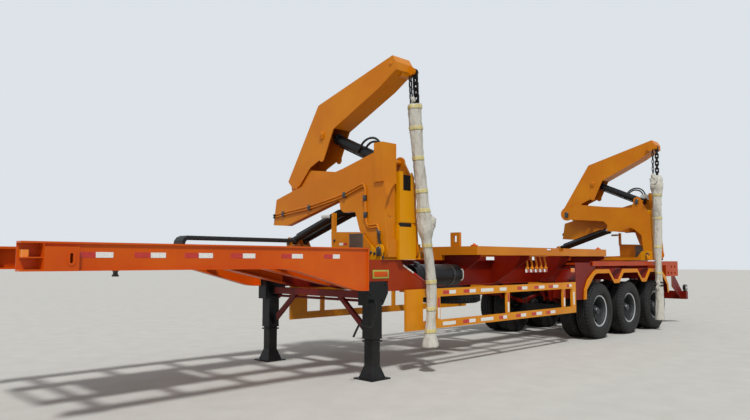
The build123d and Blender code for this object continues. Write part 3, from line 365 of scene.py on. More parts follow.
@dataclass(frozen=True)
class Fabric:
    """Woven polypropylene: a soft white sheen over crossed threads, creased and scuffed grey."""

    name: str
    colour: str
    soil: str
    weave: float = 260.0
    crease_share: float = 8.0

    def build(self) -> bpy.types.Material:
        """Build the node material.

        Returns:
            The finished material.
        """
        surface = Surface(self.name)
        # Scuffs of 125 mm drawn out along the chain
        body = surface.mottled(self.colour, self.soil, 8.0, 8.0, (0.5, 0.75), (1.0, 1.0, 0.35), 0.7)
        # Threads 1.2 mm apart along the chain and 2.4 mm round it, and creases of 33 mm
        threads = {"Vector": surface.coords, "Scale": self.weave, "Distortion": 0.4}
        slanted, level = (surface.add("ShaderNodeTexWave", threads, bands_direction=way).outputs["Fac"]
                          for way in ("DIAGONAL", "Z"))
        both = surface.add("ShaderNodeMath", {0: slanted, 1: level}, operation="ADD").outputs[0]
        creases = surface.uneven(30.0, 4.0, stretch=(1.0, 1.0, 0.3))
        relief = surface.add("ShaderNodeMath", {0: creases, 1: self.crease_share, 2: both},
                             operation="MULTIPLY_ADD")
        return surface.done(body, relief.outputs[0], 0.0012, 0.6, {"Roughness": 0.78, "Sheen Weight": 0.25})


@dataclass(frozen=True)
class Gloss:
    """Moulded acrylic, sheeting or enamel: one clear colour under a hard gloss, slightly mottled."""

    name: str
    colour: str
    shade: str
    rough: Pair = (0.12, 0.25)
    coat: float = 0.4
    accents: tuple[Accent, ...] = ()

    def build(self) -> bpy.types.Material:
        """Build the node material.

        Returns:
            The finished material.
        """
        surface = Surface(self.name)
        # Mottling of 25 mm and ripples of 2 mm
        plain = surface.mottled(self.colour, self.shade, 40.0, 4.0, (0.4, 0.75))
        body = surface.accented(plain, self.accents)
        return surface.done(body, surface.uneven(500.0, 2.0), 0.0002, 0.2, {
            "Roughness": surface.uneven(60.0, 3.0, reach=self.rough), "Coat Weight": self.coat,
        })


class Finishes:
    """Every material of the trailer, built once."""

    def __init__(self) -> None:
        """Build the whole palette."""
        red, orange, yellow, amber = "6E0F03", "CB4E00", "D98400", "F08A12"
        lens_red = ("B3140E", "8C0D0A")
        # Chassis enamel: orange where the sun reaches it, deep red on all that lies in the frame's shade
        shaded = (red, "7C1A05", "341D16")
        self.chassis = Paint("chassis orange", orange, "D45C04", "63391C", grime_amount=0.45).build()
        self.chassis_red = Paint("shaded red chassis paint", *shaded, shine=0.12).build()
        # Main beams: deep red painted shade behind X -2.58, the plain orange paint in front of it
        self.beams = Paint("main beam paint with painted shade", *shaded, shine=0.15,
                           accents=(Accent(orange, "X", -2.58),)).build()
        # Outrigger bays: deep red painted shade, with a lighter red painted shade in front of X -3.8
        self.bays = Paint("bay paint with painted shade", *shaded, shine=0.15,
                          accents=(Accent("9A3003", "X", -3.8),)).build()
        # Fenders: deep red painted shade, with a yellow outer edge
        self.fender = Paint("fender paint with painted shade", *shaded, shine=0.12,
                            accents=(Accent(yellow, "Y", 1.2235, sided=True),)).build()
        # Tail frame: a darker orange, with deep red painted shade on its rear end past X -12.78
        self.tail = Paint("tail frame paint with painted shade", "B03A04", "BC4604", "52301F", shine=0.15,
                          accents=(Accent(red, "X", -12.78, beyond=False),)).build()
        # Crane enamel: a warm yellow-orange, with painted sunlight making the feet's near faces brighter, and
        # a brighter yellow on the guards
        crane = ("CA7400", "D28002", "653A16")
        self.crane = Paint("crane yellow-orange", *crane, grime_amount=0.4).build()
        # Feet: painted sunlight as a brighter yellow on the faces past Y 0.985, on the near side only
        self.module = Paint("crane foot paint with painted sunlight", *crane, grime_amount=0.45,
                            accents=(Accent("DC9400", "Y", 0.985),)).build()
        self.yellow = Paint("guard yellow", yellow, "E09212", "6A4A1C", grime_amount=0.4).build()
        self.pipe = Paint("painted pipe", "C9750C", "D9821A", "5A4632", grime_amount=0.5).build()
        # Black enamel with a dull sheen, and aluminium enamel that is bright on the outer rims, with painted
        # shade darkening the wheels inside them
        black = ("0B0C0D", "131416", "2E2A25")
        self.black = Paint("black machine paint", *black).build()
        # Landing legs: black, with the deep red painted shade of the chassis on their parts inside Y 0.915
        self.legs = Paint("landing leg paint with painted shade", *black, (0.35, 0.55),
                          accents=(Accent(red, "Y", 0.915, beyond=False, sided=True),)).build()
        # Wheels: dark grey painted shade inside, bright aluminium past Y 1.188 on the outer rims
        self.silver = Paint("silver rim paint with painted shade", "3A3C3E", "46484A", "2A2723", (0.3, 0.45),
                            grime_top=-0.5, grime_amount=0.5,
                            accents=(Accent("C4C7C9", "Y", 1.188, sided=True),)).build()
        # Metals: oiled fasteners, mirror-like rods, sooty chain steel and dull radiator fins
        self.steel = Metal("oiled steel", "5C5E60", "3A3632", (0.3, 0.55)).build()
        self.chrome = Metal("chromed rod", "D9DBDC", "A9A7A2", (0.06, 0.16)).build()
        self.chain = Metal("dark chain steel", "2B2926", "17130F", (0.38, 0.6), 0.8).build()
        self.core = Metal("radiator fins", "6F665C", "4C453E", (0.5, 0.7), 0.4, (1.0, 1.0, 9.0)).build()
        # Rubber and tough plastic: nearly black and matt
        self.tyre = Rubber("tyre rubber", "09090A", "26221E").build()
        self.hose = Rubber("hose rubber", "101011", "1E1C1A", (0.6, 0.9), (0.4, 0.55)).build()
        self.plastic = Rubber("cable carrier plastic", "151617", "2A2825", (0.55, 0.85), (0.45, 0.6)).build()
        # Packing: off-white woven sleeves and pale yellow tape
        self.wrap = Fabric("white sleeve", "C8C4B8", "867F6E").build()
        self.tape_band = Gloss("yellow packing tape", "C9B868", "D0CBB4", (0.4, 0.55), 0.15).build()
        # Lenses, reflective sheeting and enamelled small parts
        self.red_lens = Gloss("red lens", *lens_red).build()
        self.amber_lens = Gloss("amber lens", amber, "D9740A").build()
        ends = (Accent(amber, "X", 0.0), Accent("141414", "X", -13.0, beyond=False))
        self.lamps = Gloss("lamp lenses and rubber rollers", *lens_red, accents=ends).build()
        self.tape_red = Gloss("red tape", "C4261A", "A81C14", (0.3, 0.45)).build()
        self.tape_white = Gloss("white tape", "ECEBE6", "D5D3CC", (0.3, 0.45)).build()
        self.label = Gloss("lime label frame", "A3AC38", "8F9830").build()
        self.pale = Gloss("pale enamel", "C9CCC6", "B3B5AE", (0.3, 0.5)).build()


class Workshop:
    """Models pieces with the mesh tools and hands each over with its finish and body."""

    thinnest = 0.0001
    """Least side of a block, in metres."""
    edge_share = 0.4
    """Greatest share of a block's thinnest side that a rounded edge takes."""
    merge_gap = 0.00001
    """Distance in metres under which corners become one."""

    def __init__(self) -> None:
        """Start with no pieces made."""
        self.count = 0

    def clear(self) -> None:
        """Leave nothing selected."""
        bpy.ops.object.select_all(action="DESELECT")

    def settle(self) -> bpy.types.Object:
        """Put the selected object's place, turn and scale into its mesh."""
        bpy.ops.object.transform_apply(location=True, rotation=True, scale=True)
        return bpy.context.object

    def block(self, low: Point, high: Point, edge: float = 0.004, segments: int = 2) -> bpy.types.Object:
        """Cut a block between two corners and round its edges.

        Args:
            low: Lowest corner.
            high: Highest corner.
            edge: Width of the rounded edges.
            segments: Steps in each rounded edge.

        Returns:
            The block, with its place in its mesh.
        """
        self.clear()
        size = [max(abs(b - a), self.thinnest) for a, b in zip(low, high)]
        centre = [(a + b) / 2 for a, b in zip(low, high)]
        bpy.ops.mesh.primitive_cube_add(size=1.0, location=centre, scale=size)
        thing = self.settle()
        bpy.ops.object.mode_set(mode="EDIT")
        bpy.ops.mesh.select_all(action="SELECT")
        bpy.ops.mesh.bevel(offset=min(edge, min(size) * self.edge_share), segments=segments, affect="EDGES")
        bpy.ops.object.mode_set(mode="OBJECT")
        return thing

    def turned(self, profile: Sequence[Pair], centre: Point, axis: Point = (0.0, 0.0, 1.0),
               sides: int = 24, hollow: bool = False) -> bpy.types.Object:
        """Draw a profile round an axis, ring by ring.

        Args:
            profile: Radius and height of each ring, from the start to the end.
            centre: Point on the axis where the height is 0.
            axis: Direction in which the height grows.
            sides: Corners of each ring.
            hollow: Whether the ends stay open.

        Returns:
            The turned piece.
        """
        self.clear()
        first = profile[0]
        bpy.ops.mesh.primitive_circle_add(vertices=sides, radius=first[0], location=ORIGIN,
                                          fill_type="NOTHING" if hollow else "NGON")
        thing = bpy.context.object
        bpy.ops.object.mode_set(mode="EDIT")
        bpy.ops.mesh.select_mode(type="VERT")
        bpy.ops.mesh.select_all(action="SELECT")
        bpy.ops.transform.translate(value=(0.0, 0.0, first[1]))
        for (r0, h0), (r1, h1) in zip(profile, profile[1:]):
            bpy.ops.mesh.extrude_region_move(TRANSFORM_OT_translate={"value": (0.0, 0.0, h1 - h0)})
            bpy.ops.transform.resize(value=(r1 / r0, r1 / r0, 1.0), center_override=(0.0, 0.0, h1))
        bpy.ops.mesh.select_all(action="SELECT")
        bpy.ops.mesh.remove_doubles(threshold=self.merge_gap)
        bpy.ops.mesh.normals_make_consistent(inside=False)
        bpy.ops.object.mode_set(mode="OBJECT")
        thing.rotation_mode = "QUATERNION"
        thing.rotation_quaternion = Vector(axis).to_track_quat("Z", "Y")
        thing.location = centre
        return self.settle()

    def pipe(self, points: Sequence[Point], radius: float, ring: int = 2) -> bpy.types.Object:
        """Bend a round pipe along points and make it a mesh.

        Args:
            points: Points that the pipe's line follows.
            radius: Radius of the pipe.
            ring: Fineness of its section.

        Returns:
            The pipe, closed at both ends.
        """
        self.clear()
        data = bpy.data.curves.new("pipe", "CURVE")
        data.dimensions = "3D"
        data.bevel_depth = radius
        data.bevel_resolution = ring
        data.resolution_u = 5
        data.use_fill_caps = True
        line = data.splines.new("NURBS")
        line.points.add(len(points) - 1)
        for knot, point in zip(line.points, points):
            knot.co = (*point, 1.0)
        line.order_u = 3
        line.use_endpoint_u = True
        thing = bpy.data.objects.new("pipe", data)
        bpy.context.scene.collection.objects.link(thing)
        thing.select_set(True)
        bpy.context.view_layer.objects.active = thing
        bpy.ops.object.convert(target="MESH")
        return bpy.context.object

    def bolt(self, centre: Point, axis: Point, across: float = 0.03,
             height: float = 0.016) -> bpy.types.Object:
        """Turn a hexagon bolt head with its washer and chamfer.

        Args:
            centre: Point under the washer.
            axis: Direction in which the head stands.
            across: Width of the hexagon over its corners.
            height: Height of the head.

        Returns:
            The bolt head.
        """
        r = across / 2
        washer = self.turned([(r * 1.35, 0.0), (r * 1.35, 0.003), (r * 1.2, 0.004)], centre, axis, 16)
        head = self.turned([(r, 0.003), (r, height * 0.85), (r * 0.84, height)], centre, axis, 6)
        return self.joined([head, washer])

    def joined(self, things: Sequence[bpy.types.Object]) -> bpy.types.Object:
        """Join objects into one, with its place in its mesh."""
        self.clear()
        for thing in things:
            thing.select_set(True)
        bpy.context.view_layer.objects.active = things[0]
        if len(things) > 1:
            bpy.ops.object.join()
        return self.settle()

    def twin(self, thing: bpy.types.Object, shift: Point = ORIGIN, pivot: Point = ORIGIN,
             axis: Point = (0.0, 1.0, 0.0), angle: float = 0.0) -> bpy.types.Object:
        """Copy an object with its own mesh, turned about a line and then shifted.

        Args:
            thing: Object to copy.
            shift: How far the copy moves after its turn.
            pivot: Point on the line that it turns about.
            axis: Direction of that line.
            angle: Turn in radians.

        Returns:
            The copy.
        """
        copy = thing.copy()
        copy.data = thing.data.copy()
        bpy.context.scene.collection.objects.link(copy)
        there, back = Matrix.Translation(pivot), Matrix.Translation(-Vector(pivot))
        turn = there @ Matrix.Rotation(angle, 4, Vector(axis)) @ back
        copy.matrix_world = Matrix.Translation(shift) @ turn
        return copy

    def deliver(self, things: Sequence[bpy.types.Object], name: str, material: bpy.types.Material,
                body: str, slot: Slot, crease_deg: float = 38.0) -> bpy.types.Object:
        """Join pieces, name and finish the result, and let it ride on its body.

        Args:
            things: Modelled parts of the piece.
            name: Plain piece name.
            material: Finish.
            body: Body that the piece moves with.
            slot: Slot of the record that the finish belongs to. It is not used.
            crease_deg: Angle past which an edge stays sharp.

        Returns:
            The finished piece.
        """
        thing = self.joined(things)
        thing.name = name
        thing.data.name = name
        thing.data.materials.clear()
        thing.data.materials.append(material)
        for face in thing.data.polygons:
            face.material_index = 0
        bpy.ops.object.shade_smooth_by_angle(angle=math.radians(crease_deg))
        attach(thing, body)
        self.count += 1
        LOG.info("%s: %d faces", name, len(thing.data.polygons))
        return thing


def up(height: float) -> float:
    """Turn a height above the ground into the frame's Z."""
    return height + GROUND


@dataclass
class TreadedWheels:
    """Treaded tyres, wheel nuts and hub caps of the three axles, and the spare's tyre."""

    shop: Workshop
    finishes: Finishes
    axle_height: float = 0.53
    outer_y: float = 1.089
    twin_pitch: float = 0.34
    half_width: float = 0.146
    bead_radius: float = 0.298
    radius: float = 0.53
    lugs: int = 48
    nuts: int = 10
    nut_circle: float = 0.19
    disc_y: float = 0.936
    hub_y: float = 1.118
    cap_screws: int = 6
    groove_depth: float = 0.013
    lug_depth: float = 0.011
    lug_drop: float = 0.03
    lug_inner: float = 0.07
    spare_place: Point = (-5.75, 0.0, 0.922)

    def half_profile(self) -> list[Pair]:
        """List the tyre's section from one bead to the middle of the tread."""
        r, w = self.radius, self.half_width
        wall = [
            (self.bead_radius, w - 0.04), (0.312, w - 0.028), (0.328, w - 0.016), (0.332, w - 0.009),
            (0.338, w - 0.008), (0.343, w - 0.011), (0.37, w - 0.003), (0.4, w), (0.435, w - 0.003),
            (0.462, w - 0.009), (0.466, w - 0.006), (0.474, w - 0.007), (0.478, w - 0.013),
            (r - 0.03, w - 0.02), (r - 0.014, w - 0.027), (r - 0.005, w - 0.036), (r, w - 0.046),
        ]
        grooves = []
        for outer in (0.066, 0.026):
            grooves += [(r, outer), (r - self.groove_depth, outer - 0.003),
                        (r - self.groove_depth, outer - 0.011), (r, outer - 0.014)]
        return wall + grooves

    def master(self) -> bpy.types.Object:
        """Turn one tyre about Y at the origin and cut its shoulder lugs.

        Returns:
            The finished tyre, to be copied.
        """
        half = self.half_profile()
        profile = half + [(r, -h) for r, h in reversed(half)] + [half[0]]
        tyre = self.shop.turned(profile, ORIGIN, (0.0, 1.0, 0.0), self.lugs * 2, hollow=True)
        bpy.ops.object.mode_set(mode="EDIT")
        bpy.ops.mesh.select_mode(type="FACE")
        bpy.ops.mesh.select_all(action="DESELECT")
        bpy.ops.object.mode_set(mode="OBJECT")
        step = math.pi / self.lugs
        for face in tyre.data.polygons:
            x, y, z = face.center
            reach = math.hypot(x, z)
            index = int((math.atan2(z, x) + math.pi) / step)
            face.select = index % 2 == 0 and reach > self.radius - self.lug_drop and abs(y) > self.lug_inner
        bpy.ops.object.mode_set(mode="EDIT")
        bpy.ops.mesh.extrude_region_shrink_fatten(TRANSFORM_OT_shrink_fatten={"value": -self.lug_depth})
        bpy.ops.object.mode_set(mode="OBJECT")
        return tyre

    def hub(self, side: int) -> list[bpy.types.Object]:
        """Model the nuts and the oil cap of one wheel pair at X 0 and axle height 0.

        Args:
            side: 1 for the left wheels, -1 for the right ones.

        Returns:
            The parts.
        """
        axis = (0.0, float(side), 0.0)
        seat = (self.nut_circle, side * self.disc_y, 0.0)
        nut = self.shop.bolt(seat, axis, across=0.038, height=0.03)
        stud = self.shop.turned([(0.011, 0.0), (0.011, 0.042), (0.008, 0.046)], seat, axis, 10)
        pair = self.shop.joined([nut, stud])
        turns = [self.shop.twin(pair, angle=2 * math.pi * i / self.nuts) for i in range(1, self.nuts)]
        y = self.hub_y
        cap = self.shop.turned([(0.088, y - 0.014), (0.088, y), (0.072, y + 0.006), (0.07, y + 0.032),
                                (0.06, y + 0.045), (0.03, y + 0.05), (0.012, y + 0.051)], ORIGIN, axis, 32)
        screw = self.shop.bolt((0.078, side * y, 0.0), axis, across=0.014, height=0.008)
        screws = [self.shop.twin(screw, angle=2 * math.pi * (i + 0.5) / self.cap_screws)
                  for i in range(self.cap_screws)]
        bpy.data.objects.remove(screw)
        return [pair, *turns, cap, *screws]

    def run(self) -> None:
        """Fit every wheel pair and the spare."""
        f = self.finishes
        tyre = self.master()
        for side, label in ((1, "left"), (-1, "right")):
            parts = self.shop.joined(self.hub(side))
            for index, x in enumerate(AXLE_XS):
                z = up(self.axle_height)
                twins = [self.shop.twin(tyre, (x, side * y, z))
                         for y in (self.outer_y, self.outer_y - self.twin_pitch)]
                mark = f"{index + 1}_{label}"
                body = f"wheel_{mark}"
                piece = self.shop.deliver(twins, f"treaded_tyres_{mark}", f.tyre, body, Slot.TYRE)
                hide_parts(f"tyres_{mark}")
                hub = self.shop.twin(parts, (x, 0.0, z))
                self.shop.deliver([hub], f"hub_fittings_{mark}", f.steel, body, Slot.STEEL)
            bpy.data.objects.remove(parts)
        x, y, height = self.spare_place
        spare = self.shop.twin(tyre, (x, y, up(height)), axis=(1.0, 0.0, 0.0), angle=math.pi / 2)
        piece = self.shop.deliver([spare], "treaded_spare_tyre", f.tyre, "chassis", Slot.TYRE)
        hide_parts("spare_tyre")
        bpy.data.objects.remove(tyre)


@dataclass
class MarkerTape:
    """Red and white reflective strips on the gooseneck, the guards, their posts and the crane feet.

    Three values in a row are where a red strip starts, where the white one joins it and where that ends.
    """

    shop: Workshop
    finishes: Finishes
    thickness: float = 0.0016
    gap: float = 0.0003
    edge: float = 0.0006
    web_y: float = 1.202
    web_band: Pair = (1.505, 1.555)
    web_pairs: tuple[Point, ...] = (
        (0.818, 0.682, 0.527), (0.332, 0.177, 0.027), (-0.168, -0.319, -0.476), (-0.683, -0.828, -0.982),
        (-1.322, -1.466, -1.621), (-1.931, -2.07, -2.18),
    )
    guard_y: float = 1.25
    top_band: Pair = (1.02, 1.07)
    top_pairs: tuple[Point, ...] = (
        (-4.05, -4.19, -4.34), (-4.52, -4.66, -4.81), (-5.919, -6.049, -6.207), (-6.417, -6.561, -6.741),
        (-6.881, -7.023, -7.197), (-7.49, -7.58, -7.66),
    )
    top_whites: tuple[Pair, ...] = ((-4.94, -5.257), (-5.426, -5.61))
    low_band: Pair = (0.59, 0.64)
    low_pairs: tuple[Point, ...] = (
        (-4.499, -4.645, -4.798), (-5.401, -5.51, -5.61), (-5.867, -6.005, -6.157),
        (-6.333, -6.47, -6.642), (-6.78, -6.92, -7.08),
    )
    low_whites: tuple[Pair, ...] = ((-4.045, -4.33), (-4.93, -5.246))
    posts: tuple[float, ...] = (-3.96, -5.66, -7.4)
    post_half: float = 0.022
    post_heights: Point = (0.69, 0.84, 0.975)
    rear_post: Pair = (-7.7625, -7.7175)
    rear_band: Pair = (0.7, 0.93)
    foot_faces: tuple[tuple[str, float, int], ...] = (("front", -2.91, 1), ("rear", -11.99, -1))
    foot_places: Point = (0.535, 0.45, 0.37)
    foot_band: Pair = (1.69, 1.722)

    def strip(self, ends: Pair, y: float, band: Pair, side: int) -> bpy.types.Object:
        """Lay one strip on an upright face that looks to a side.

        Args:
            ends: X of both ends.
            y: Distance of the face from the trailer's middle.
            band: Lower and upper height.
            side: 1 for the left side, -1 for the right one.

        Returns:
            The strip.
        """
        right, left = sorted((side * (y + self.gap), side * (y + self.thickness)))
        return self.shop.block((min(ends), right, up(band[0])), (max(ends), left, up(band[1])), self.edge, 1)

    def feet(self) -> None:
        """Lay a red and a white strip on each crane's foot."""
        f = self.finishes
        start, joint, end = self.foot_places
        low, high = (up(height) for height in self.foot_band)
        for name, face, way in self.foot_faces:
            back, front = sorted((face + way * self.gap, face + way * self.thickness))
            for label, y0, y1, finish, slot in (("red", joint, start, f.tape_red, Slot.LAMP),
                                                ("white", end, joint, f.tape_white, Slot.WRAP)):
                strip = self.shop.block((back, y0, low), (front, y1, high), self.edge, 1)
                self.shop.deliver([strip], f"{name}_base_tape_{label}", finish, f"{name}_crane_module", slot)

    def run(self) -> None:
        """Lay the strips of both sides and the two cranes."""
        red, white = [], []
        low, joint, high = self.post_heights
        for side in (1, -1):
            for pairs, whites, y, band in ((self.web_pairs, (), self.web_y, self.web_band),
                                           (self.top_pairs, self.top_whites, self.guard_y, self.top_band),
                                           (self.low_pairs, self.low_whites, self.guard_y, self.low_band)):
                red += [self.strip((start, middle), y, band, side) for start, middle, _ in pairs]
                white += [self.strip((middle, end), y, band, side) for _, middle, end in pairs]
                white += [self.strip(ends, y, band, side) for ends in whites]
            for x in self.posts:
                ends = (x - self.post_half, x + self.post_half)
                red.append(self.strip(ends, self.guard_y, (joint, high), side))
                white.append(self.strip(ends, self.guard_y, (low, joint), side))
            white.append(self.strip(self.rear_post, self.guard_y, self.rear_band, side))
        f = self.finishes
        self.shop.deliver(red, "marker_tape_red", f.tape_red, "chassis", Slot.LAMP)
        self.shop.deliver(white, "marker_tape_white", f.tape_white, "chassis", Slot.WRAP)
        self.feet()


@dataclass
class SecondStrand:
    """Second run of links beside the lifting chain, from the tip down into the sleeve.

    The two depths behind the crane's face are those at the top and at the bottom.
    """

    shop: Workshop
    finishes: Finishes
    name: str
    face_x: float
    inward: int
    depths: Pair
    lowest: float
    top: float = 3.93
    y: float = 1.272
    bottom: float = 0.3
    pitch: float = 0.081
    wire: float = 0.011
    half_length: float = 0.054
    half_width: float = 0.03

    def link(self, flat: bool) -> bpy.types.Object:
        """Bend one closed link at the origin, its long axis upright.

        Args:
            flat: Whether the link lies across X.

        Returns:
            The link.
        """
        self.shop.clear()
        bpy.ops.mesh.primitive_torus_add(
            major_segments=20, minor_segments=8, major_radius=self.half_width - self.wire,
            minor_radius=self.wire, rotation=(math.pi / 2, 0.0, 0.0 if flat else math.pi / 2))
        thing = self.shop.settle()
        stretch = self.half_length - self.half_width
        for vertex in thing.data.vertices:
            if abs(vertex.co.z) > self.shop.merge_gap:
                vertex.co.z += math.copysign(stretch, vertex.co.z)
        return thing

    def run(self) -> None:
        """Hang the links one in the next."""
        flat, edge = self.link(True), self.link(False)
        slope = (self.depths[1] - self.depths[0]) / (self.top - self.bottom)
        links = []
        height, index = self.top, 0
        while height > self.lowest:
            depth = self.depths[0] + (self.top - height) * slope
            place = (self.face_x + self.inward * depth, self.y, up(height))
            links.append(self.shop.twin(flat if index % 2 == 0 else edge, place))
            height -= self.pitch
            index += 1
        for thing in (flat, edge):
            bpy.data.objects.remove(thing)
        self.shop.deliver(links, f"{self.name}_second_strand", self.finishes.chain,
                          f"{self.name}_chain_body", Slot.CHAIN, crease_deg=60.0)


@dataclass
class ChainSleeve:
    """Woven sleeve taped round a lifting chain, with its bands, its bunched fold and its flared end.

    Radii pair a part of the length with a radius, and bands and straps are parts of the length. A flap is
    the X, the Y, the height and the size of one loose bag of cloth. Creases are finer and finer: each is how
    many go round, how many go down a metre and how high they stand, as a share of the radius.
    """

    shop: Workshop
    finishes: Finishes
    name: str
    top: Point
    bottom: Point
    radii: tuple[Pair, ...]
    bands: tuple[float, ...]
    bow: float
    bow_height: float
    flaps: tuple[tuple[float, float, float, float], ...]
    straps: tuple[float, ...] = ()
    sides: int = 40
    rings: int = 200
    wall: float = 0.0015
    bow_reach: float = 0.8
    drift: float = 0.012
    creases: tuple[Point, ...] = ((2.2, 3.1, 0.12), (5.0, 11.0, 0.09), (9.0, 34.0, 0.05))
    fold_share: float = 0.05

    def radius(self, part: float) -> float:
        """Radius at a part of the length, eased between the named stations."""
        for (p0, r0), (p1, r1) in zip(self.radii, self.radii[1:]):
            if part <= p1:
                t = (part - p0) / (p1 - p0)
                return r0 + (r1 - r0) * t * t * (3 - 2 * t)
        return self.radii[-1][1]

    def crumple(self, thing: bpy.types.Object) -> None:
        """Bow, wrinkle and twist a tube that was drawn straight along the sleeve's line."""
        start, end = Vector(self.top), Vector(self.bottom)
        line = end - start
        length = line.length
        along = line / length
        for vertex in thing.data.vertices:
            height = (vertex.co - start).dot(along)
            foot = start + along * height
            out = vertex.co - foot
            angle = math.atan2(out.y, out.x)
            part = height / length
            # Bulges, creases and puckers, and seven long folds that pull tighter towards the ends
            bumps = [noise.noise(Vector((across * math.cos(angle), across * math.sin(angle), height * down)))
                     for across, down, _ in self.creases]
            fold = math.sin(7.0 * angle + 9.0 * height + 2.0 * bumps[0]) * (0.6 + 0.8 * abs(part - 0.5))
            grow = 1.0 + self.fold_share * fold
            grow += sum(share * bump for (_, _, share), bump in zip(self.creases, bumps))
            sway = self.bow * math.exp(-((vertex.co.z - up(self.bow_height)) / self.bow_reach) ** 2)
            drift = self.drift * math.sin(height * 4.3)
            vertex.co = foot + out * grow + Vector((sway + drift, 0.0, 0.0))

    def tube(self, start: float, end: float, rings: int, proud: float) -> bpy.types.Object:
        """Draw one open tube between two parts of the length and crumple it."""
        line = Vector(self.bottom) - Vector(self.top)
        steps = [start + (end - start) * i / rings for i in range(rings + 1)]
        profile = [(self.radius(p) + proud, p * line.length) for p in steps]
        thing = self.shop.turned(profile, self.top, tuple(line), self.sides, hollow=True)
        self.crumple(thing)
        wall = thing.modifiers.new("wall", "SOLIDIFY")
        wall.thickness = self.wall
        wall.offset = 1.0
        bpy.ops.object.modifier_apply(modifier=wall.name)
        return thing

    def flap(self, place: Sequence[float], index: int) -> bpy.types.Object:
        """Crumple one loose bag of cloth that stands out from the sleeve."""
        x, y, height, size = place
        self.shop.clear()
        bpy.ops.mesh.primitive_uv_sphere_add(segments=36, ring_count=26, radius=size * 0.5)
        thing = bpy.context.object
        for vertex in thing.data.vertices:
            spot = vertex.co / size
            wide = noise.noise(spot * 3.0 + Vector((index * 7.0, 0.0, 0.0)))
            fine = noise.noise(spot * 9.0 + Vector((0.0, index * 5.0, 0.0)))
            fold = abs(math.sin(6.0 * math.atan2(spot.y, spot.x) + 5.0 * spot.z + 3.0 * wide))
            grow = 0.8 + 0.45 * wide + 0.16 * fine + 0.16 * fold
            hanging = Vector((vertex.co.x * 1.1, vertex.co.y * 0.75, vertex.co.z * 1.35))
            vertex.co = Vector((x, y, up(height))) + hanging * grow
        return thing

    def run(self) -> None:
        f, name = self.finishes, self.name
        body, round_all = f"{name}_chain_body", 180.0
        cloth = self.tube(0.0, 1.0, self.rings, 0.0)
        sleeve = self.shop.deliver([cloth], f"{name}_woven_sleeve", f.wrap, body, Slot.WRAP, round_all)
        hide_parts(f"{name}_chain_wrap")
        rings = [self.tube(p - 0.008, p + 0.008, 6, 0.004) for p in self.bands]
        tape = self.shop.deliver(rings, f"{name}_sleeve_bands", f.tape_band, body, Slot.WRAP, round_all)
        straps = [self.tube(p - 0.006, p + 0.006, 4, 0.006) for p in self.straps]
        if straps:
            self.shop.deliver(straps, f"{name}_sleeve_strap", f.hose, body, Slot.BLACK, round_all)
        flaps = [self.flap(place, i) for i, place in enumerate(self.flaps)]
        loose = self.shop.deliver(flaps, f"{name}_sleeve_corners", f.wrap, body, Slot.WRAP, round_all)
        stations = 40
        girth = 2 * math.pi * sum(self.radius(i / stations) for i in range(stations + 1)) / (stations + 1)


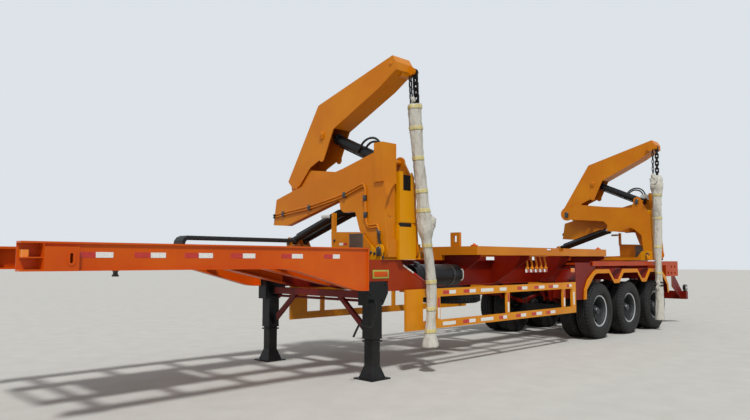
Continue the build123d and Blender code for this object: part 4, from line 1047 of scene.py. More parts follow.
@dataclass
class CraneFittings:
    """Pins, bolts, pipes, hoses, glands and the oil cooler's core of one crane.

    Depths are measured from the crane's outboard face towards its middle. A pair is a Y and a height, and
    three values are a depth, a Y and a height. A slab is the depths, the Ys and the heights of a block. The
    profiles of the end nut, the spool, the nipple and the boss pair a radius with a height. Fins are their
    count, pitch and thickness, and wires are their count, the first one's place and their pitch.
    """

    shop: Workshop
    finishes: Finishes
    name: str
    face_x: float
    inward: int
    pipe_depth: float = -0.016
    pipe_gap: float = 0.034
    pipe_radius: float = 0.011
    pipe_line: tuple[Pair, ...] = (
        (-1.151, 2.187), (-0.9, 2.213), (-0.555, 2.245), (-0.321, 2.268), (0.123, 2.34), (0.437, 2.394),
        (0.74, 2.488), (0.8, 2.502), (0.842, 2.484), (0.845, 2.43), (0.843, 2.324), (0.85, 2.2),
        (0.862, 2.04), (0.872, 1.975), (0.905, 1.95), (0.966, 1.947), (1.045, 1.953), (1.085, 1.945),
        (1.095, 1.915), (1.095, 1.864),
    )
    pipe_end: Pair = (1.095, 1.9)
    clamps: tuple[Pair, ...] = ((-0.95, 2.208), (-0.321, 2.268), (0.437, 2.394), (0.843, 2.324), (0.856, 2.1))
    clamp_depths: Pair = (-0.034, 0.002)
    end_nut: tuple[Pair, ...] = ((0.017, 0.0), (0.017, 0.03), (0.02, 0.034), (0.02, 0.05), (0.014, 0.055))
    hose_radius: float = 0.016
    hose_line: tuple[Pair, ...] = (
        (1.095, 1.87), (1.1, 1.8), (1.113, 1.747), (1.149, 1.65), (1.165, 1.58), (1.176, 1.53),
    )
    far_hose: tuple[Point, ...] = (
        (-0.016, -1.14, 2.19), (-0.02, -1.19, 2.185), (0.03, -1.215, 2.175), (0.1, -1.2, 2.16),
    )
    loops: tuple[tuple[Pair, ...], ...] = (
        ((0.47, 2.985), (0.512, 3.04), (0.592, 3.125), (0.703, 3.165), (0.828, 3.15), (0.925, 3.07),
         (0.95, 2.985)),
        ((0.52, 2.96), (0.561, 3.02), (0.64, 3.09), (0.719, 3.12), (0.83, 3.1), (0.9, 3.04), (0.915, 2.985)),
    )
    loop_depths: Pair = (0.2, 0.25)
    valve_block: Slab = ((0.15, 0.29), (0.87, 1.03), (2.9, 2.985))
    valve_lid: Slab = ((0.17, 0.27), (0.9, 0.98), (2.985, 3.0))
    spool: tuple[Pair, ...] = ((0.014, 0.0), (0.014, 0.03), (0.01, 0.034))
    spool_ys: tuple[float, ...] = (0.9, 0.95, 1.0)
    spool_height: float = 2.945
    nipple: tuple[Pair, ...] = (
        (0.009, 0.018), (0.009, 0.024), (0.005, 0.027), (0.005, 0.034), (0.003, 0.036),
    )
    keeper_thick: float = 0.01
    arm_pin: Pair = (-0.8, 2.62)
    arm_pin_radius: float = 0.05
    arm_pin_depth: float = 0.622
    foot_pin: Pair = (1.14, 1.62)
    foot_pin_radius: float = 0.042
    foot_pin_depths: Pair = (-0.046, 0.656)
    tip_boss: Point = (0.12, 1.195, 4.085)
    boss: tuple[Pair, ...] = ((0.028, -0.002), (0.028, 0.006), (0.024, 0.009), (0.0112, 0.009))
    foot_bolts: tuple[Pair, ...] = (
        (0.929, 1.607), (0.988, 1.587), (1.053, 1.574), (0.269, 1.759), (-0.4, 1.535), (-0.9, 1.535),
    )
    cooler_ys: Pair = (0.585, 0.836)
    cooler_heights: Pair = (1.555, 1.837)
    fins: tuple[int, float, float] = (23, 0.0125, 0.007)
    upright_wires: tuple[int, float, float] = (15, 0.007, 0.017)
    level_wires: tuple[int, float, float] = (19, 0.011, 0.0145)
    wire: float = 0.006
    screen_rim: float = 0.012
    bracket_depths: Pair = (0.548, 0.79)
    bracket_ys: tuple[float, float, float] = (1.16, 1.178, 1.24)
    bracket_bolt_depths: Pair = (0.62, 0.72)
    bracket_bolt_heights: Pair = (1.545, 1.59)
    column_slot: Slab = ((0.242, 0.472), (1.215, 1.2345), (1.925, 1.975))
    post_plate: Slab = ((-0.052, -0.04), (0.0, 0.17), (2.075, 2.12))
    post_lugs: tuple[Slab, ...] = (
        ((-0.075, -0.052), (0.02, 0.07), (2.08, 2.115)), ((-0.075, -0.052), (0.1, 0.15), (2.08, 2.115)),
    )
    lift_base: Pair = (-1.08, 1.79)
    lift_head: Pair = (0.28, 2.24)
    lift_depths: Pair = (0.2775, 0.4825)
    lift_pin_radius: float = 0.028
    lift_pin_depths: Pair = (0.192, 0.563)
    fold_base: Pair = (0.92, 2.83)
    fold_head: Pair = (-0.2, 3.33)
    fold_depth: float = 0.285
    fold_pin_radius: float = 0.04
    boom_pin_depths: Pair = (0.112, 0.458)
    port_start: float = 0.13
    gland_end: float = 0.17

    def at(self, depth: float, y: float, height: float) -> Point:
        """Point at a depth behind the outboard face."""
        return self.face_x + self.inward * depth, y, up(height)

    def box(self, depths: Pair, ys: Pair, heights: Pair, edge: float = 0.004) -> bpy.types.Object:
        """Block between two depths."""
        low, high = sorted(self.face_x + self.inward * depth for depth in depths)
        return self.shop.block((low, ys[0], up(heights[0])), (high, ys[1], up(heights[1])), edge)

    def outward(self) -> Point:
        """Direction from the crane's middle to its outboard face."""
        return float(-self.inward), 0.0, 0.0

    def give(self, things: Sequence[bpy.types.Object], piece: str, finish: bpy.types.Material, body: str,
             slot: Slot) -> None:
        """Hand over a piece of this crane for one of its bodies."""
        self.shop.deliver(things, f"{self.name}_{piece}", finish, f"{self.name}_{body}", slot)

    def pin_head(self, depth: float, where: Pair, radius: float, outboard: bool) -> list[bpy.types.Object]:
        """Model a pin's chamfered end with its grease nipple, its keeper plate and two bolts.

        Args:
            depth: Depth of the plate that the pin stands on.
            where: Y and height of the pin.
            radius: Radius of the pin.
            outboard: Whether the end looks outboard.

        Returns:
            The parts.
        """
        sign = -1 if outboard else 1
        axis = (float(self.inward * sign), 0.0, 0.0)
        centre = self.at(depth, *where)
        end = [(radius, 0.0), (radius, 0.014), (radius - 0.005, 0.019), (0.012, 0.019)]
        y, z = where
        plate_top = depth + sign * self.keeper_thick
        keeper = self.box((depth, plate_top), (y - radius * 0.9, y + radius * 0.9),
                          (z - radius - 0.034, z - radius * 0.55), 0.003)
        bolts = [self.shop.bolt(self.at(plate_top, y + shift, z - radius - 0.017), axis, 0.024, 0.012)
                 for shift in (-radius * 0.6, radius * 0.6)]
        ends = [self.shop.turned(end, centre, axis, 28), self.shop.turned(self.nipple, centre, axis, 10)]
        return [*ends, keeper, *bolts]

    def ram_trim(self, depth: float, base: Pair, head: Pair, radius: float,
                 rod: float) -> list[bpy.types.Object]:
        """Model a cylinder's gland nut, its ports and the pipe along its barrel.

        Args:
            depth: Depth of the cylinder's middle.
            base: Y and height of its pin on the barrel's side.
            head: Y and height of its pin on the rod's side.
            radius: Radius of the barrel.
            rod: Radius of the rod.

        Returns:
            The parts.
        """
        length = math.dist(base, head)
        dy, dz = (head[0] - base[0]) / length, (head[1] - base[1]) / length
        start, end = self.port_start, length - self.gland_end
        ring = [(rod + 0.004, end - 0.05), (radius + 0.004, end - 0.05), (radius + 0.011, end - 0.045),
                (radius + 0.011, end - 0.004), (radius + 0.006, end + 0.004), (rod + 0.004, end + 0.004),
                (rod + 0.004, end - 0.05)]
        gland = self.shop.turned(ring, self.at(depth, *base), (0.0, dy, dz), 36, hollow=True)

        def beside(along: float, lift: float) -> Point:
            """Point along the cylinder, lifted square to it."""
            return self.at(depth, base[0] + dy * along - dz * lift, base[1] + dz * along + dy * lift)

        skin, lift = radius - 0.004, radius + 0.013
        line = [beside(start, skin), beside(start, lift), beside(0.17, lift), beside(0.4, lift),
                beside(end - 0.16, lift), beside(end - 0.1, lift), beside(end - 0.1, skin)]
        port = [(0.017, radius - 0.006), (0.017, radius + 0.01), (0.013, radius + 0.013)]
        ports = [self.shop.turned(port, beside(along, 0.0), (0.0, -dz, dy), 6)
                 for along in (start, end - 0.1)]
        return [gland, self.shop.pipe(line, self.pipe_radius), *ports]

    def pipework(self) -> None:
        """Run two pipes along the lifting arm, with their clamps, end nuts and hoses."""
        f, body, both = self.finishes, "inner_arm_body", (0, 1)
        gap, depth = self.pipe_gap, self.pipe_depth
        lines = [[self.at(depth, y + gap / 2 * i, z - gap * i) for y, z in self.pipe_line] for i in both]
        pipes = [self.shop.pipe(line, self.pipe_radius) for line in lines]
        self.give(pipes, "arm_pipes", f.pipe, body, Slot.CRANE)
        clamps, top = [], self.clamp_depths[0]
        for y, z in self.clamps:
            clamps.append(self.box(self.clamp_depths, (y - 0.022, y + 0.03), (z - 0.056, z + 0.022)))
            clamps.append(self.shop.bolt(self.at(top, y + 0.004, z - gap / 2), self.outward(), 0.02, 0.01))
        y, z = self.pipe_end
        nuts = [self.shop.turned(self.end_nut, self.at(depth, y + gap / 2 * i, z - gap * i),
                                 (0.0, 0.0, -1.0), 6) for i in both]
        self.give(clamps + nuts, "pipe_clamps", f.steel, body, Slot.STEEL)
        lines = [[self.at(depth - 0.01 * i, y + gap / 2 * i, z - 0.03 * i) for y, z in self.hose_line]
                 for i in both]
        lines += [[self.at(inner, y, z - gap * i) for inner, y, z in self.far_hose] for i in both]
        lines += [[self.at(inner, y, z) for y, z in loop]
                  for inner, loop in zip(self.loop_depths, self.loops)]
        hoses = [self.shop.pipe(line, self.hose_radius) for line in lines]
        self.give(hoses, "arm_hoses", f.hose, body, Slot.BLACK)

    def arm(self) -> None:
        """Fit the lifting arm's valve block and pin ends."""
        f, body = self.finishes, "inner_arm_body"
        valve = [self.box(*self.valve_block, 0.006), self.box(*self.valve_lid, 0.003)]
        valve += [self.shop.turned(self.spool, self.at(self.valve_block[0][0], y, self.spool_height),
                                   self.outward(), 12) for y in self.spool_ys]
        self.give(valve, "valve_block", f.pale, body, Slot.STEEL)
        pins = self.pin_head(self.arm_pin_depth, self.arm_pin, self.arm_pin_radius, False)
        pins += self.pin_head(self.arm_pin_depth, self.fold_base, self.fold_pin_radius, False)
        self.give(pins, "arm_pin_ends", f.steel, body, Slot.STEEL)

    def boom(self) -> None:
        """Fit the pin ends and the tip's boss of the cranked arm."""
        pins = []
        for depth, outboard in zip(self.boom_pin_depths, (True, False)):
            pins += self.pin_head(depth, self.fold_head, self.fold_pin_radius, outboard)
        pins.append(self.shop.turned(self.boss, self.at(*self.tip_boss), self.outward(), 20))
        self.give(pins, "boom_pin_ends", self.finishes.crane, "outer_arm_body", Slot.CRANE)

    def cooler(self) -> None:
        """Fit the oil cooler's finned core behind its wire screen."""
        f, body = self.finishes, "crane_module"
        (y0, y1), (z0, z1) = self.cooler_ys, self.cooler_heights
        core = [self.box((-0.014, -0.004), (y0, y1), (z0, z1))]
        count, pitch, thick = self.fins
        for i in range(count):
            z = z0 + pitch * i
            core.append(self.box((-0.019, -0.012), (y0, y1), (z, z + thick), 0.002))
        self.give(core, "cooler_core", f.core, body, Slot.STEEL)
        screen, wire, rim = [], self.wire, self.screen_rim
        count, first, pitch = self.upright_wires
        for i in range(count):
            y = y0 + first + pitch * i
            screen.append(self.box((-0.047, -0.044), (y, y + wire), (z0 + 0.005, z1 - 0.005), 0.001))
        count, first, pitch = self.level_wires
        for i in range(count):
            z = z0 + first + pitch * i
            screen.append(self.box((-0.05, -0.047), (y0 + 0.003, y1 - 0.003), (z, z + wire), 0.001))
        left, right, low, high = y0 - 0.005, y1 + 0.005, z0 - 0.003, z1 + 0.003
        for ys, heights in (((left, right), (low, low + rim)), ((left, right), (high - rim, high)),
                            ((left, left + rim), (low, high)), ((right - rim, right), (low, high))):
            screen.append(self.box((-0.052, -0.04), ys, heights, 0.002))
        self.give(screen, "cooler_screen", f.core, body, Slot.STEEL)

    def foot(self) -> None:
        """Fit the sliding foot: pin ends, bolts, side bracket, a black plate of painted shade for the
        column's slot, and the post's bracket.
        """
        f, body = self.finishes, "crane_module"
        steel = []
        for depths, where, radius in ((self.foot_pin_depths, self.foot_pin, self.foot_pin_radius),
                                      (self.lift_pin_depths, self.lift_base, self.lift_pin_radius)):
            for depth, outboard in zip(depths, (True, False)):
                steel += self.pin_head(depth, where, radius, outboard)
        steel += [self.shop.bolt(self.at(-0.04, y, z), self.outward()) for y, z in self.foot_bolts]
        self.give(steel, "foot_bolts", f.steel, body, Slot.STEEL)
        (near, far), (back, web, edge) = self.bracket_depths, self.bracket_ys
        bracket = [self.box((near, far), (back, web), (1.505, 1.62), 0.005),
                   self.box((near, far), (back, edge), (1.5, 1.514)),
                   self.box((far - 0.015, far), (back, edge), (1.502, 1.59))]
        self.give(bracket, "foot_bracket", f.yellow, body, Slot.CRANE)
        bolts = [self.shop.bolt(self.at(depth, web, z), (0.0, 1.0, 0.0), 0.028, 0.014)
                 for depth in self.bracket_bolt_depths for z in self.bracket_bolt_heights]
        self.give(bolts, "bracket_bolts", f.steel, body, Slot.STEEL)
        # Painted shade: a black plate standing for the dark inside of the column's slot
        self.give([self.box(*self.column_slot, 0.002)], "column_slot", f.black, body, Slot.BLACK)
        post = [self.box(*self.post_plate, 0.003), *(self.box(*lug) for lug in self.post_lugs)]
        self.give(post, "post_bracket", f.pale, body, Slot.STEEL)

    def cylinders(self) -> None:
        """Fit the glands, ports and pipes of the three cylinders."""
        black = self.finishes.black
        lift = []
        for depth in self.lift_depths:
            lift += self.ram_trim(depth, self.lift_base, self.lift_head, radius=0.05, rod=0.032)
        self.give(lift, "lift_glands", black, "lift_barrels_body", Slot.BLACK)
        fold = self.ram_trim(self.fold_depth, self.fold_base, self.fold_head, radius=0.072, rod=0.042)
        self.give(fold, "boom_gland", black, "boom_barrel_body", Slot.BLACK)

    def run(self) -> None:
        """Fit the whole crane."""
        self.pipework()
        self.arm()
        self.boom()
        self.cooler()
        self.foot()
        self.cylinders()


@dataclass
class FrameFittings:
    """Small fittings of the chassis, from the air couplings to the roller hubs at the tail.

    A pair is an X and a height, unless its name says otherwise, and three values are an X, a Y and a height.
    A slab is the Xs, the Ys and the heights of a block. The ring, hub, gland, can and grip are profiles: each
    pairs a radius with a place on the axis. The spring's bend pairs a step across it with a height.
    """

    shop: Workshop
    finishes: Finishes
    tank_x: float = -4.25
    tank_y: float = 0.9
    tank_height: float = 1.275
    tank_radius: float = 0.155
    tank_band: float = 0.32
    tank_cap: float = 0.42
    tank_sight: float = -0.49
    crank_line: tuple[Point, ...] = (
        (-2.73, 1.2, 0.98), (-2.73, 1.25, 0.98), (-2.725, 1.262, 0.93), (-2.7, 1.268, 0.8),
        (-2.66, 1.275, 0.69), (-2.6, 1.28, 0.662), (-2.5, 1.285, 0.69), (-2.43, 1.29, 0.722),
        (-2.4, 1.29, 0.7), (-2.323, 1.29, 0.579),
    )
    leg_x: float = -2.83
    leg_y: float = 1.09
    leg_half: float = 0.091
    leg_bolts: tuple[Pair, ...] = ((-2.71, 1.17), (-2.99, 1.17), (-2.71, 0.96), (-2.93, 0.98), (-2.71, 1.06))
    leg_bolt_y: float = 1.18
    collar_heights: Pair = (0.5, 0.46)
    collar: float = 0.022
    label_frame: Slab = ((-3.058, -2.766), (1.162, 1.168), (1.255, 1.364))
    bare_label: Slab = ((-3.035, -2.789), (1.166, 1.17), (1.275, 1.344))
    reflector: Slab = ((-7.83, -7.7), (1.2202, 1.23), (1.275, 1.35))
    rack_bar: Slab = ((-7.02, -6.3), (1.1, 1.16), (1.552, 1.572))
    rack_start: float = -6.37
    rack_pitch: float = 0.145
    rack_hooks: int = 5
    grip: tuple[Pair, ...] = ((0.02, 0.0), (0.034, -0.012), (0.034, -0.034), (0.024, -0.042))
    tag_width: float = 0.056
    tag_ys: Pair = (1.152, 1.16)
    tag_heights: Pair = (1.29, 1.342)
    bay_slope: Pair = (0.48, 0.245)
    bay_corner: Pair = (-3.315, 1.432)
    bay_highlight_ys: Pair = (1.1625, 1.168)
    carrier_y: Pair = (-0.26, -0.06)
    carrier_low: float = 1.584
    carrier_high: float = 0.195
    carrier_wall: float = 0.045
    carrier_rear: float = -2.5
    carrier_bend: float = -0.9
    carrier_pitch: float = 0.045
    carrier_link: float = 0.034
    carrier_proud: Pair = (0.003, 0.002)
    lamp_x: float = -12.72
    lamp_ys: tuple[float, ...] = (0.76, 0.88, 1.0)
    lamp_height: float = 1.305
    lamp_ring: tuple[Pair, ...] = (
        (0.05, 0.012), (0.056, 0.012), (0.058, 0.02), (0.055, 0.027), (0.05, 0.025), (0.05, 0.012),
    )
    roller_end: Point = (-13.33, 1.21, 0.84)
    roller_hub: tuple[Pair, ...] = (
        (0.036, 0.0), (0.036, 0.006), (0.03, 0.012), (0.014, 0.012), (0.012, 0.02), (0.006, 0.022),
    )
    coupling_face: Point = (1.21, 0.24, 1.5)
    gland: tuple[Pair, ...] = (
        (0.026, 0.0), (0.026, 0.01), (0.014, 0.014), (0.014, 0.034), (0.034, 0.038), (0.034, 0.052),
        (0.026, 0.056),
    )
    spring_y: float = 0.49
    spring_step: float = 0.055
    spring_bend: tuple[Pair, ...] = (
        (-0.052, 0.43), (-0.052, 0.56), (-0.052, 0.7), (0.0, 0.712), (0.052, 0.7), (0.052, 0.56),
        (0.052, 0.43),
    )
    chamber_y: float = 0.3
    chamber_can: tuple[Pair, ...] = (
        (0.02, -0.11), (0.06, -0.1), (0.078, -0.08), (0.078, -0.012), (0.088, -0.01), (0.088, 0.01),
        (0.078, 0.012), (0.072, 0.06), (0.05, 0.085), (0.02, 0.09),
    )

    def plate(self, xs: Pair, ys: Pair, heights: Pair, side: int, edge: float = 0.002) -> bpy.types.Object:
        """Block on one side of the trailer, with its Y measured from the middle."""
        right, left = sorted((side * ys[0], side * ys[1]))
        return self.shop.block((xs[0], right, up(heights[0])), (xs[1], left, up(heights[1])), edge)

    def give(self, things: Sequence[bpy.types.Object], piece: str, finish: bpy.types.Material,
             slot: Slot) -> None:
        """Hand over a piece of the chassis."""
        self.shop.deliver(things, piece, finish, "chassis", slot)

    def tank(self) -> None:
        """Band the tank and give it a filler cap, a drain plug and a sight pipe."""
        f, r = self.finishes, self.tank_radius
        x, y, z = self.tank_x, self.tank_y, up(self.tank_height)
        band = [(r + 0.001, -0.022), (r + 0.007, -0.02), (r + 0.007, 0.02), (r + 0.001, 0.022),
                (r + 0.001, -0.022)]
        fittings = []
        for place in (x - self.tank_band, x + self.tank_band):
            fittings.append(self.shop.turned(band, (place, y, z), (1.0, 0.0, 0.0), 40, hollow=True))
            fittings.append(self.shop.bolt((place, y + r + 0.006, z), (0.0, 1.0, 0.0), 0.026, 0.014))
        cap = [(0.03, r - 0.012), (0.03, r + 0.012), (0.042, r + 0.014), (0.042, r + 0.036),
               (0.034, r + 0.042), (0.012, r + 0.042)]
        fittings.append(self.shop.turned(cap, (x + self.tank_cap, y, z), (0.0, 0.35, 1.0), 14))
        fittings.append(self.shop.bolt((x, y, z - r), (0.0, 0.0, -1.0), 0.03, 0.02))
        self.give(fittings, "tank_bands", f.steel, Slot.STEEL)
        bulge = ((r * 0.9, -0.08), (r + 0.02, -0.075), (r + 0.025, 0.0), (r + 0.02, 0.075), (r * 0.9, 0.08))
        sight = self.shop.pipe([(x + self.tank_sight, y + out, z + rise) for out, rise in bulge], 0.008)
        self.give([sight], "tank_sight_pipe", f.pale, Slot.STEEL)

    def crank(self) -> None:
        """Hang the crank on the left landing leg, bolt both gearboxes and collar both legs."""
        crank = [self.shop.pipe([(x, y, up(z)) for x, y, z in self.crank_line], 0.014)]
        legs = (self.leg_x - self.leg_half, self.leg_x + self.leg_half)
        for side in (1, -1):
            for x, z in self.leg_bolts:
                place = (x, side * self.leg_bolt_y, up(z))
                crank.append(self.shop.bolt(place, (0.0, float(side), 0.0), 0.026, 0.012))
            for z in self.collar_heights:
                crank.append(self.plate(legs, (self.leg_y - self.leg_half, self.leg_y + self.leg_half),
                                        (z, z + self.collar), side, 0.004))
        self.give(crank, "landing_crank", self.finishes.black, Slot.BLACK)

    def plates(self) -> None:
        """Fit the bare label plates in their frames and the reflectors on the skirts."""
        f = self.finishes
        for name, place, edge, finish, slot in (
                ("label_frame", self.label_frame, 0.002, f.label, Slot.CRANE),
                ("bare_label", self.bare_label, 0.0015, f.chassis, Slot.CHASSIS),
                ("skirt_reflectors", self.reflector, 0.004, f.amber_lens, Slot.LAMP)):
            self.give([self.plate(*place, side, edge) for side in (1, -1)], name, finish, slot)

    def rack(self) -> None:
        """Hang the lashing rack with its tags, and paint white and red strips of sunlight on the bays'
        sloping edges.
        """
        f = self.finishes
        rack = [self.plate(*self.rack_bar, 1, 0.003)]
        red, white = [], []
        for index in range(self.rack_hooks):
            x = self.rack_start - self.rack_pitch * index
            rack.append(self.shop.pipe([(x, 1.13, up(1.56)), (x, 1.135, up(1.5)), (x - 0.02, 1.15, up(1.43)),
                                        (x, 1.155, up(1.36))], 0.017))
            rack.append(self.shop.turned(self.grip, (x, 1.155, up(1.38)), sides=12))
            for tags, start, end in ((red, x - self.tag_width, x), (white, x, x + self.tag_width)):
                tags.append(self.plate((start, end), self.tag_ys, self.tag_heights, 1))
        self.give(rack, "lashing_rack", f.crane, Slot.CRANE)
        # Painted highlight: white and red strips of sunlight along each bay's sloping ledge
        run, fall = self.bay_slope
        corner = (self.bay_corner[0], 0.0, up(self.bay_corner[1]))
        for side in (1, -1):
            for tags, start, end in ((white, 0.02, 0.25), (red, 0.25, 0.5)):
                right, left = sorted(side * y for y in self.bay_highlight_ys)
                strip = self.shop.block((-end, right, -0.011), (-start, left, 0.011), 0.002)
                tags.append(self.shop.twin(strip, corner, angle=-math.atan2(fall, run)))
                bpy.data.objects.remove(strip)
        self.give(red, "lashing_tags_red", f.tape_red, Slot.LAMP)
        self.give(white, "lashing_tags_white", f.tape_white, Slot.WRAP)

    def carrier(self) -> None:
        """Give the cable carrier its link plates along both runs and round the bend."""
        beside, over = self.carrier_proud
        right, left = self.carrier_y[0] - beside, self.carrier_y[1] + beside
        low, high, wall = self.carrier_low, self.carrier_low + self.carrier_high, self.carrier_wall
        links = []
        x = self.carrier_rear + 0.02
        while x < self.carrier_bend - 0.02:
            for base in (low, high - wall):
                bottom, top = up(base) - over, up(base + wall) + over
                far = (x + self.carrier_link, left, top)
                links.append(self.shop.block((x, right, bottom), far, segments=1))
            x += self.carrier_pitch
        middle, reach = up((low + high) / 2), self.carrier_bend + self.carrier_high / 2
        pad = self.shop.block((reach - wall - over, right, middle - 0.015),
                              (reach + beside, left, middle + 0.015), segments=1)
        links += [self.shop.twin(pad, pivot=(self.carrier_bend, 0.0, middle), angle=math.radians(turn))
                  for turn in range(-78, 79, 26)]
        bpy.data.objects.remove(pad)
        self.give(links, "carrier_links", self.finishes.plastic, Slot.BLACK)

    def tail(self) -> None:
        """Ring the tail lamps and give the bumper's rubber rollers their hubs."""
        f = self.finishes
        rings = [self.shop.turned(self.lamp_ring, (self.lamp_x, side * y, up(self.lamp_height)),
                                  (-1.0, 0.0, 0.0), 32, hollow=True)
                 for side in (1, -1) for y in self.lamp_ys]
        x, y, z = self.roller_end
        hubs = [self.shop.turned(self.roller_hub, (x, side * y, up(z)), (0.0, float(side), 0.0))
                for side in (1, -1)]
        self.give(rings, "tail_lamp_rims", f.chrome, Slot.STEEL)
        self.give(hubs, "roller_hubs", f.pale, Slot.STEEL)

    def couplings(self) -> None:
        """Fit the two air couplings on the front cross plate."""
        f = self.finishes
        x, y, z = self.coupling_face
        for name, side, finish in (("red", 1, f.red_lens), ("yellow", -1, f.amber_lens)):
            coupling = self.shop.turned(self.gland, (x, side * y, up(z)), (1.0, 0.0, 0.0), 20)
            self.give([coupling], f"air_coupling_{name}", finish, Slot.LAMP)

    def running_gear(self) -> None:
        """Bolt the springs to the axles and hang a brake chamber behind each wheel."""
        f = self.finishes
        bolts, chambers = [], []
        for x in AXLE_XS:
            for side in (1, -1):
                y = side * self.spring_y
                for place in (x - self.spring_step, x + self.spring_step):
                    bend = [(place, y + across, up(z)) for across, z in self.spring_bend]
                    bolts.append(self.shop.pipe(bend, 0.009))
                bolts.append(self.shop.block((x - 0.085, y - 0.07, up(0.437)),
                                             (x + 0.085, y + 0.07, up(0.455))))
                y = side * self.chamber_y
                centre = (x - 0.09, y, up(0.62))
                chambers.append(self.shop.turned(self.chamber_can, centre, (-1.0, 0.0, 0.35)))
                chambers.append(self.shop.block((x - 0.076, y - 0.05, up(0.56)),
                                                (x - 0.06, y + 0.05, up(0.66))))
        self.give(bolts, "spring_u_bolts", f.steel, Slot.STEEL)
        self.give(chambers, "brake_chambers", f.black, Slot.BLACK)

    def run(self) -> None:
        """Fit everything on the chassis."""
        self.tank()
        self.crank()
        self.plates()
        self.rack()
        self.carrier()
        self.tail()
        self.couplings()
        self.running_gear()


@dataclass
class Dresser:
    """Gives each carried-over CAD node its material."""

    frame: dict
    finishes: Finishes

    def material_for(self, node: str) -> bpy.types.Material:
        """Choose the finish of a node: the first whose names fit.

        Args:
            node: Name of the node.

        Returns:
            Its finish.
        """
        f = self.finishes
        rules = (
            (f.tyre, "*tyre*"),
            (f.silver, "rims*", "spare_rim"),
            (f.plastic, "energy_chain"),
            (f.chain, "*_chain"),
            (f.wrap, "*_chain_wrap"),
            (f.lamps, "lamps"),
            (f.steel, "kingpin", "coupler_plate"),
            (f.legs, "landing_legs"),
            (f.black, "axles", "tank", "spare_carrier", "*barrel*", "*stabiliser*"),
            (f.chrome, "*_rods", "*_rod"),
            # The frame parts below take finishes with deep red painted shade
            (f.tail, "rear_frame"),
            (f.beams, "main_beams"),
            (f.bays, "outriggers"),
            (f.fender, "fenders"),
            (f.chassis_red, "cross_members", "suspension"),
            (f.yellow, "side_guard*"),
            (f.module, "front_module", "rear_module"),
            (f.crane, "front_*", "rear_*", "container_rails"),
        )
        for finish, *names in rules:
            if any(fnmatch(node, name) for name in names):
                return finish
        return f.chassis

    def run(self) -> None:
        """Assign a finish to every node that shows."""
        for name, thing in self.frame["nodes"].items():
            material = self.material_for(name)
            if not thing.material_slots:
                thing.data.materials.append(material)
            for slot in thing.material_slots:
                slot.material = material
            LOG.info("%s: %s", name, material.name)


@dataclass
class Studio:
    """Camera at the photograph's place, pale floor and soft daylight."""

    shop: Workshop
    lens: float = 30.65
    sensor: float = 36.0
    position: Point = (2.9, 6.917, 0.083)
    pitch_deg: float = 4.596
    yaw_deg: float = 135.22
    view_reach: float = 500.0
    floor_size: float = 240.0
    floor_colours: tuple[str, str] = ("C9C7C1", "BFBDB6")
    sun_place: Point = (5.0, 6.0, 11.0)
    sun_energy: float = 2.5
    sun_softness: float = 6.0
    fill_place: Point = (14.0, 3.0, 6.0)
    fill_energy: float = 0.3
    fill_softness: float = 30.0
    sky_colour: str = "EEF1F4"
    sky_light: float = 0.36
    backdrop: str = "DDE3E8"

    def camera(self) -> None:
        """Put the camera where the photograph was taken."""
        scene = bpy.context.scene
        data = bpy.data.cameras.new("camera")
        data.lens = self.lens
        data.sensor_width = self.sensor
        data.clip_end = self.view_reach
        camera = bpy.data.objects.new("camera", data)
        camera.location = self.position
        camera.rotation_euler = (math.radians(90 + self.pitch_deg), 0.0, math.radians(self.yaw_deg))
        scene.collection.objects.link(camera)
        scene.camera = camera

    def floor(self) -> None:
        """Lay the floor."""
        self.shop.clear()
        bpy.ops.mesh.primitive_plane_add(size=self.floor_size, location=(0.0, 0.0, GROUND))
        floor = self.shop.settle()
        floor.name = "floor"
        # Trowelled concrete: matt, with cloudy patches of 330 mm
        surface = Surface("pale floor")
        colour = surface.mottled(*self.floor_colours, 3.0, 4.0, (0.3, 0.8))
        surface.feed(surface.shader, {"Base Color": colour, "Roughness": 0.9})
        floor.data.materials.append(surface.material)

    def sky(self) -> None:
        """Light the scene from the sky, with an even backdrop where it is seen or mirrored."""
        world = bpy.data.worlds.new("sky")
        bpy.context.scene.world = world
        world.use_nodes = True
        nodes = Nodes(world.node_tree)
        glow = nodes.feed(nodes.tree.nodes["Background"], {0: linear(self.sky_colour), 1: self.sky_light})
        seen = nodes.add("ShaderNodeBackground", {0: linear(self.backdrop), 1: 1.0})
        rays = nodes.add("ShaderNodeLightPath").outputs
        plain = rays["Is Camera Ray"]
        for kind in ("Is Transmission Ray", "Is Glossy Ray"):
            plain = nodes.add("ShaderNodeMath", {0: plain, 1: rays[kind]}, operation="MAXIMUM").outputs[0]
        choose = nodes.add("ShaderNodeMixShader", {0: plain, 1: glow.outputs[0], 2: seen.outputs[0]})
        nodes.feed(nodes.tree.nodes["World Output"], {"Surface": choose.outputs[0]})

    def light(self, name: str, towards: Point, energy: float, angle_deg: float) -> None:
        """Add a sun lamp that shines from a direction.

        Args:
            name: Lamp name.
            towards: Direction from the object to the lamp.
            energy: Strength in watts per square metre.
            angle_deg: Angular size, which softens the shadows.
        """
        data = bpy.data.lights.new(name, "SUN")
        data.energy = energy
        data.angle = math.radians(angle_deg)
        lamp = bpy.data.objects.new(name, data)
        lamp.rotation_euler = Vector(towards).to_track_quat("Z", "Y").to_euler()
        bpy.context.scene.collection.objects.link(lamp)

    def build(self) -> None:
        """Add the camera, the floor, the lamps and the sky."""
        bpy.context.scene.view_settings.view_transform = "Standard"
        self.camera()
        self.floor()
        self.light("sun", self.sun_place, self.sun_energy, self.sun_softness)
        self.light("fill", self.fill_place, self.fill_energy, self.fill_softness)
        self.sky()


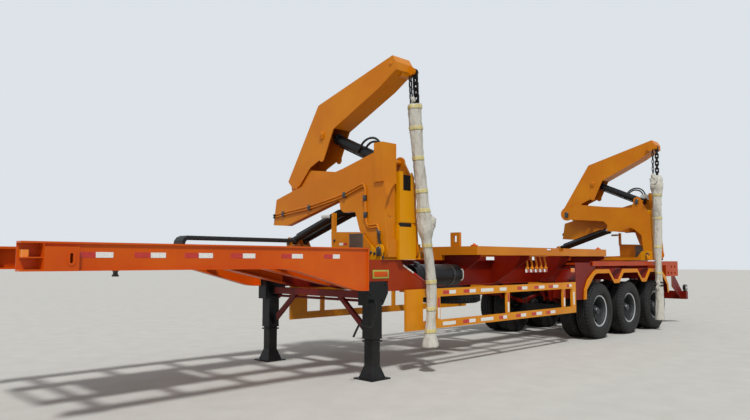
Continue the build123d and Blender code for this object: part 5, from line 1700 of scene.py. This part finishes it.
def main() -> None:
    """Dress the frame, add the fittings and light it."""
    logging.basicConfig(level=logging.INFO)
    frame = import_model()
    finishes = Finishes()
    Dresser(frame, finishes).run()
    shop = Workshop()
    TreadedWheels(shop, finishes).run()
    MarkerTape(shop, finishes).run()
    FrameFittings(shop, finishes).run()
    cranes = (("front", -2.95, -1), ("rear", -11.95, 1))
    for crane in cranes:
        CraneFittings(shop, finishes, *crane).run()
    for crane, depths, lowest in zip(cranes, ((0.42, 0.67), (0.52, 0.65)), (3.5, 3.3)):
        SecondStrand(shop, finishes, *crane, depths, lowest).run()
    ChainSleeve(
        shop, finishes, "front", top=(-3.378, 1.345, up(3.56)), bottom=(-3.635, 1.36, up(0.35)),
        radii=((0.0, 0.088), (0.08, 0.084), (0.2, 0.074), (0.4, 0.078), (0.47, 0.092), (0.52, 0.102),
               (0.57, 0.07), (0.6, 0.062), (0.75, 0.064), (0.9, 0.062), (0.94, 0.072), (1.0, 0.108)),
        bands=(0.012, 0.1, 0.225, 0.36, 0.44, 0.585, 0.735, 0.845, 0.935), bow=-0.1, bow_height=1.35,
        flaps=((-3.66, 1.37, 2.0, 0.15), (-3.6, 1.4, 1.9, 0.12), (-3.33, 1.36, 3.61, 0.07)),
    ).run()
    ChainSleeve(
        shop, finishes, "rear", top=(-11.402, 1.35, up(3.36)), bottom=(-11.3, 1.36, up(0.21)),
        radii=((0.0, 0.085), (0.03, 0.12), (0.08, 0.128), (0.12, 0.105), (0.16, 0.086), (0.3, 0.084),
               (0.5, 0.078), (0.64, 0.064), (0.7, 0.07), (0.8, 0.076), (0.92, 0.088), (1.0, 0.09)),
        bands=(0.14, 0.3, 0.5, 0.68), bow=0.02, bow_height=1.3,
        flaps=((-11.24, 1.35, 3.27, 0.19), (-11.2, 1.34, 3.16, 0.14), (-11.27, 1.37, 1.0, 0.13),
               (-11.25, 1.36, 0.93, 0.1)),
        straps=(0.745, 0.765),
    ).run()
    Studio(shop).build()
    LOG.info("%d pieces made", shop.count)


if __name__ == "__main__":
    main()
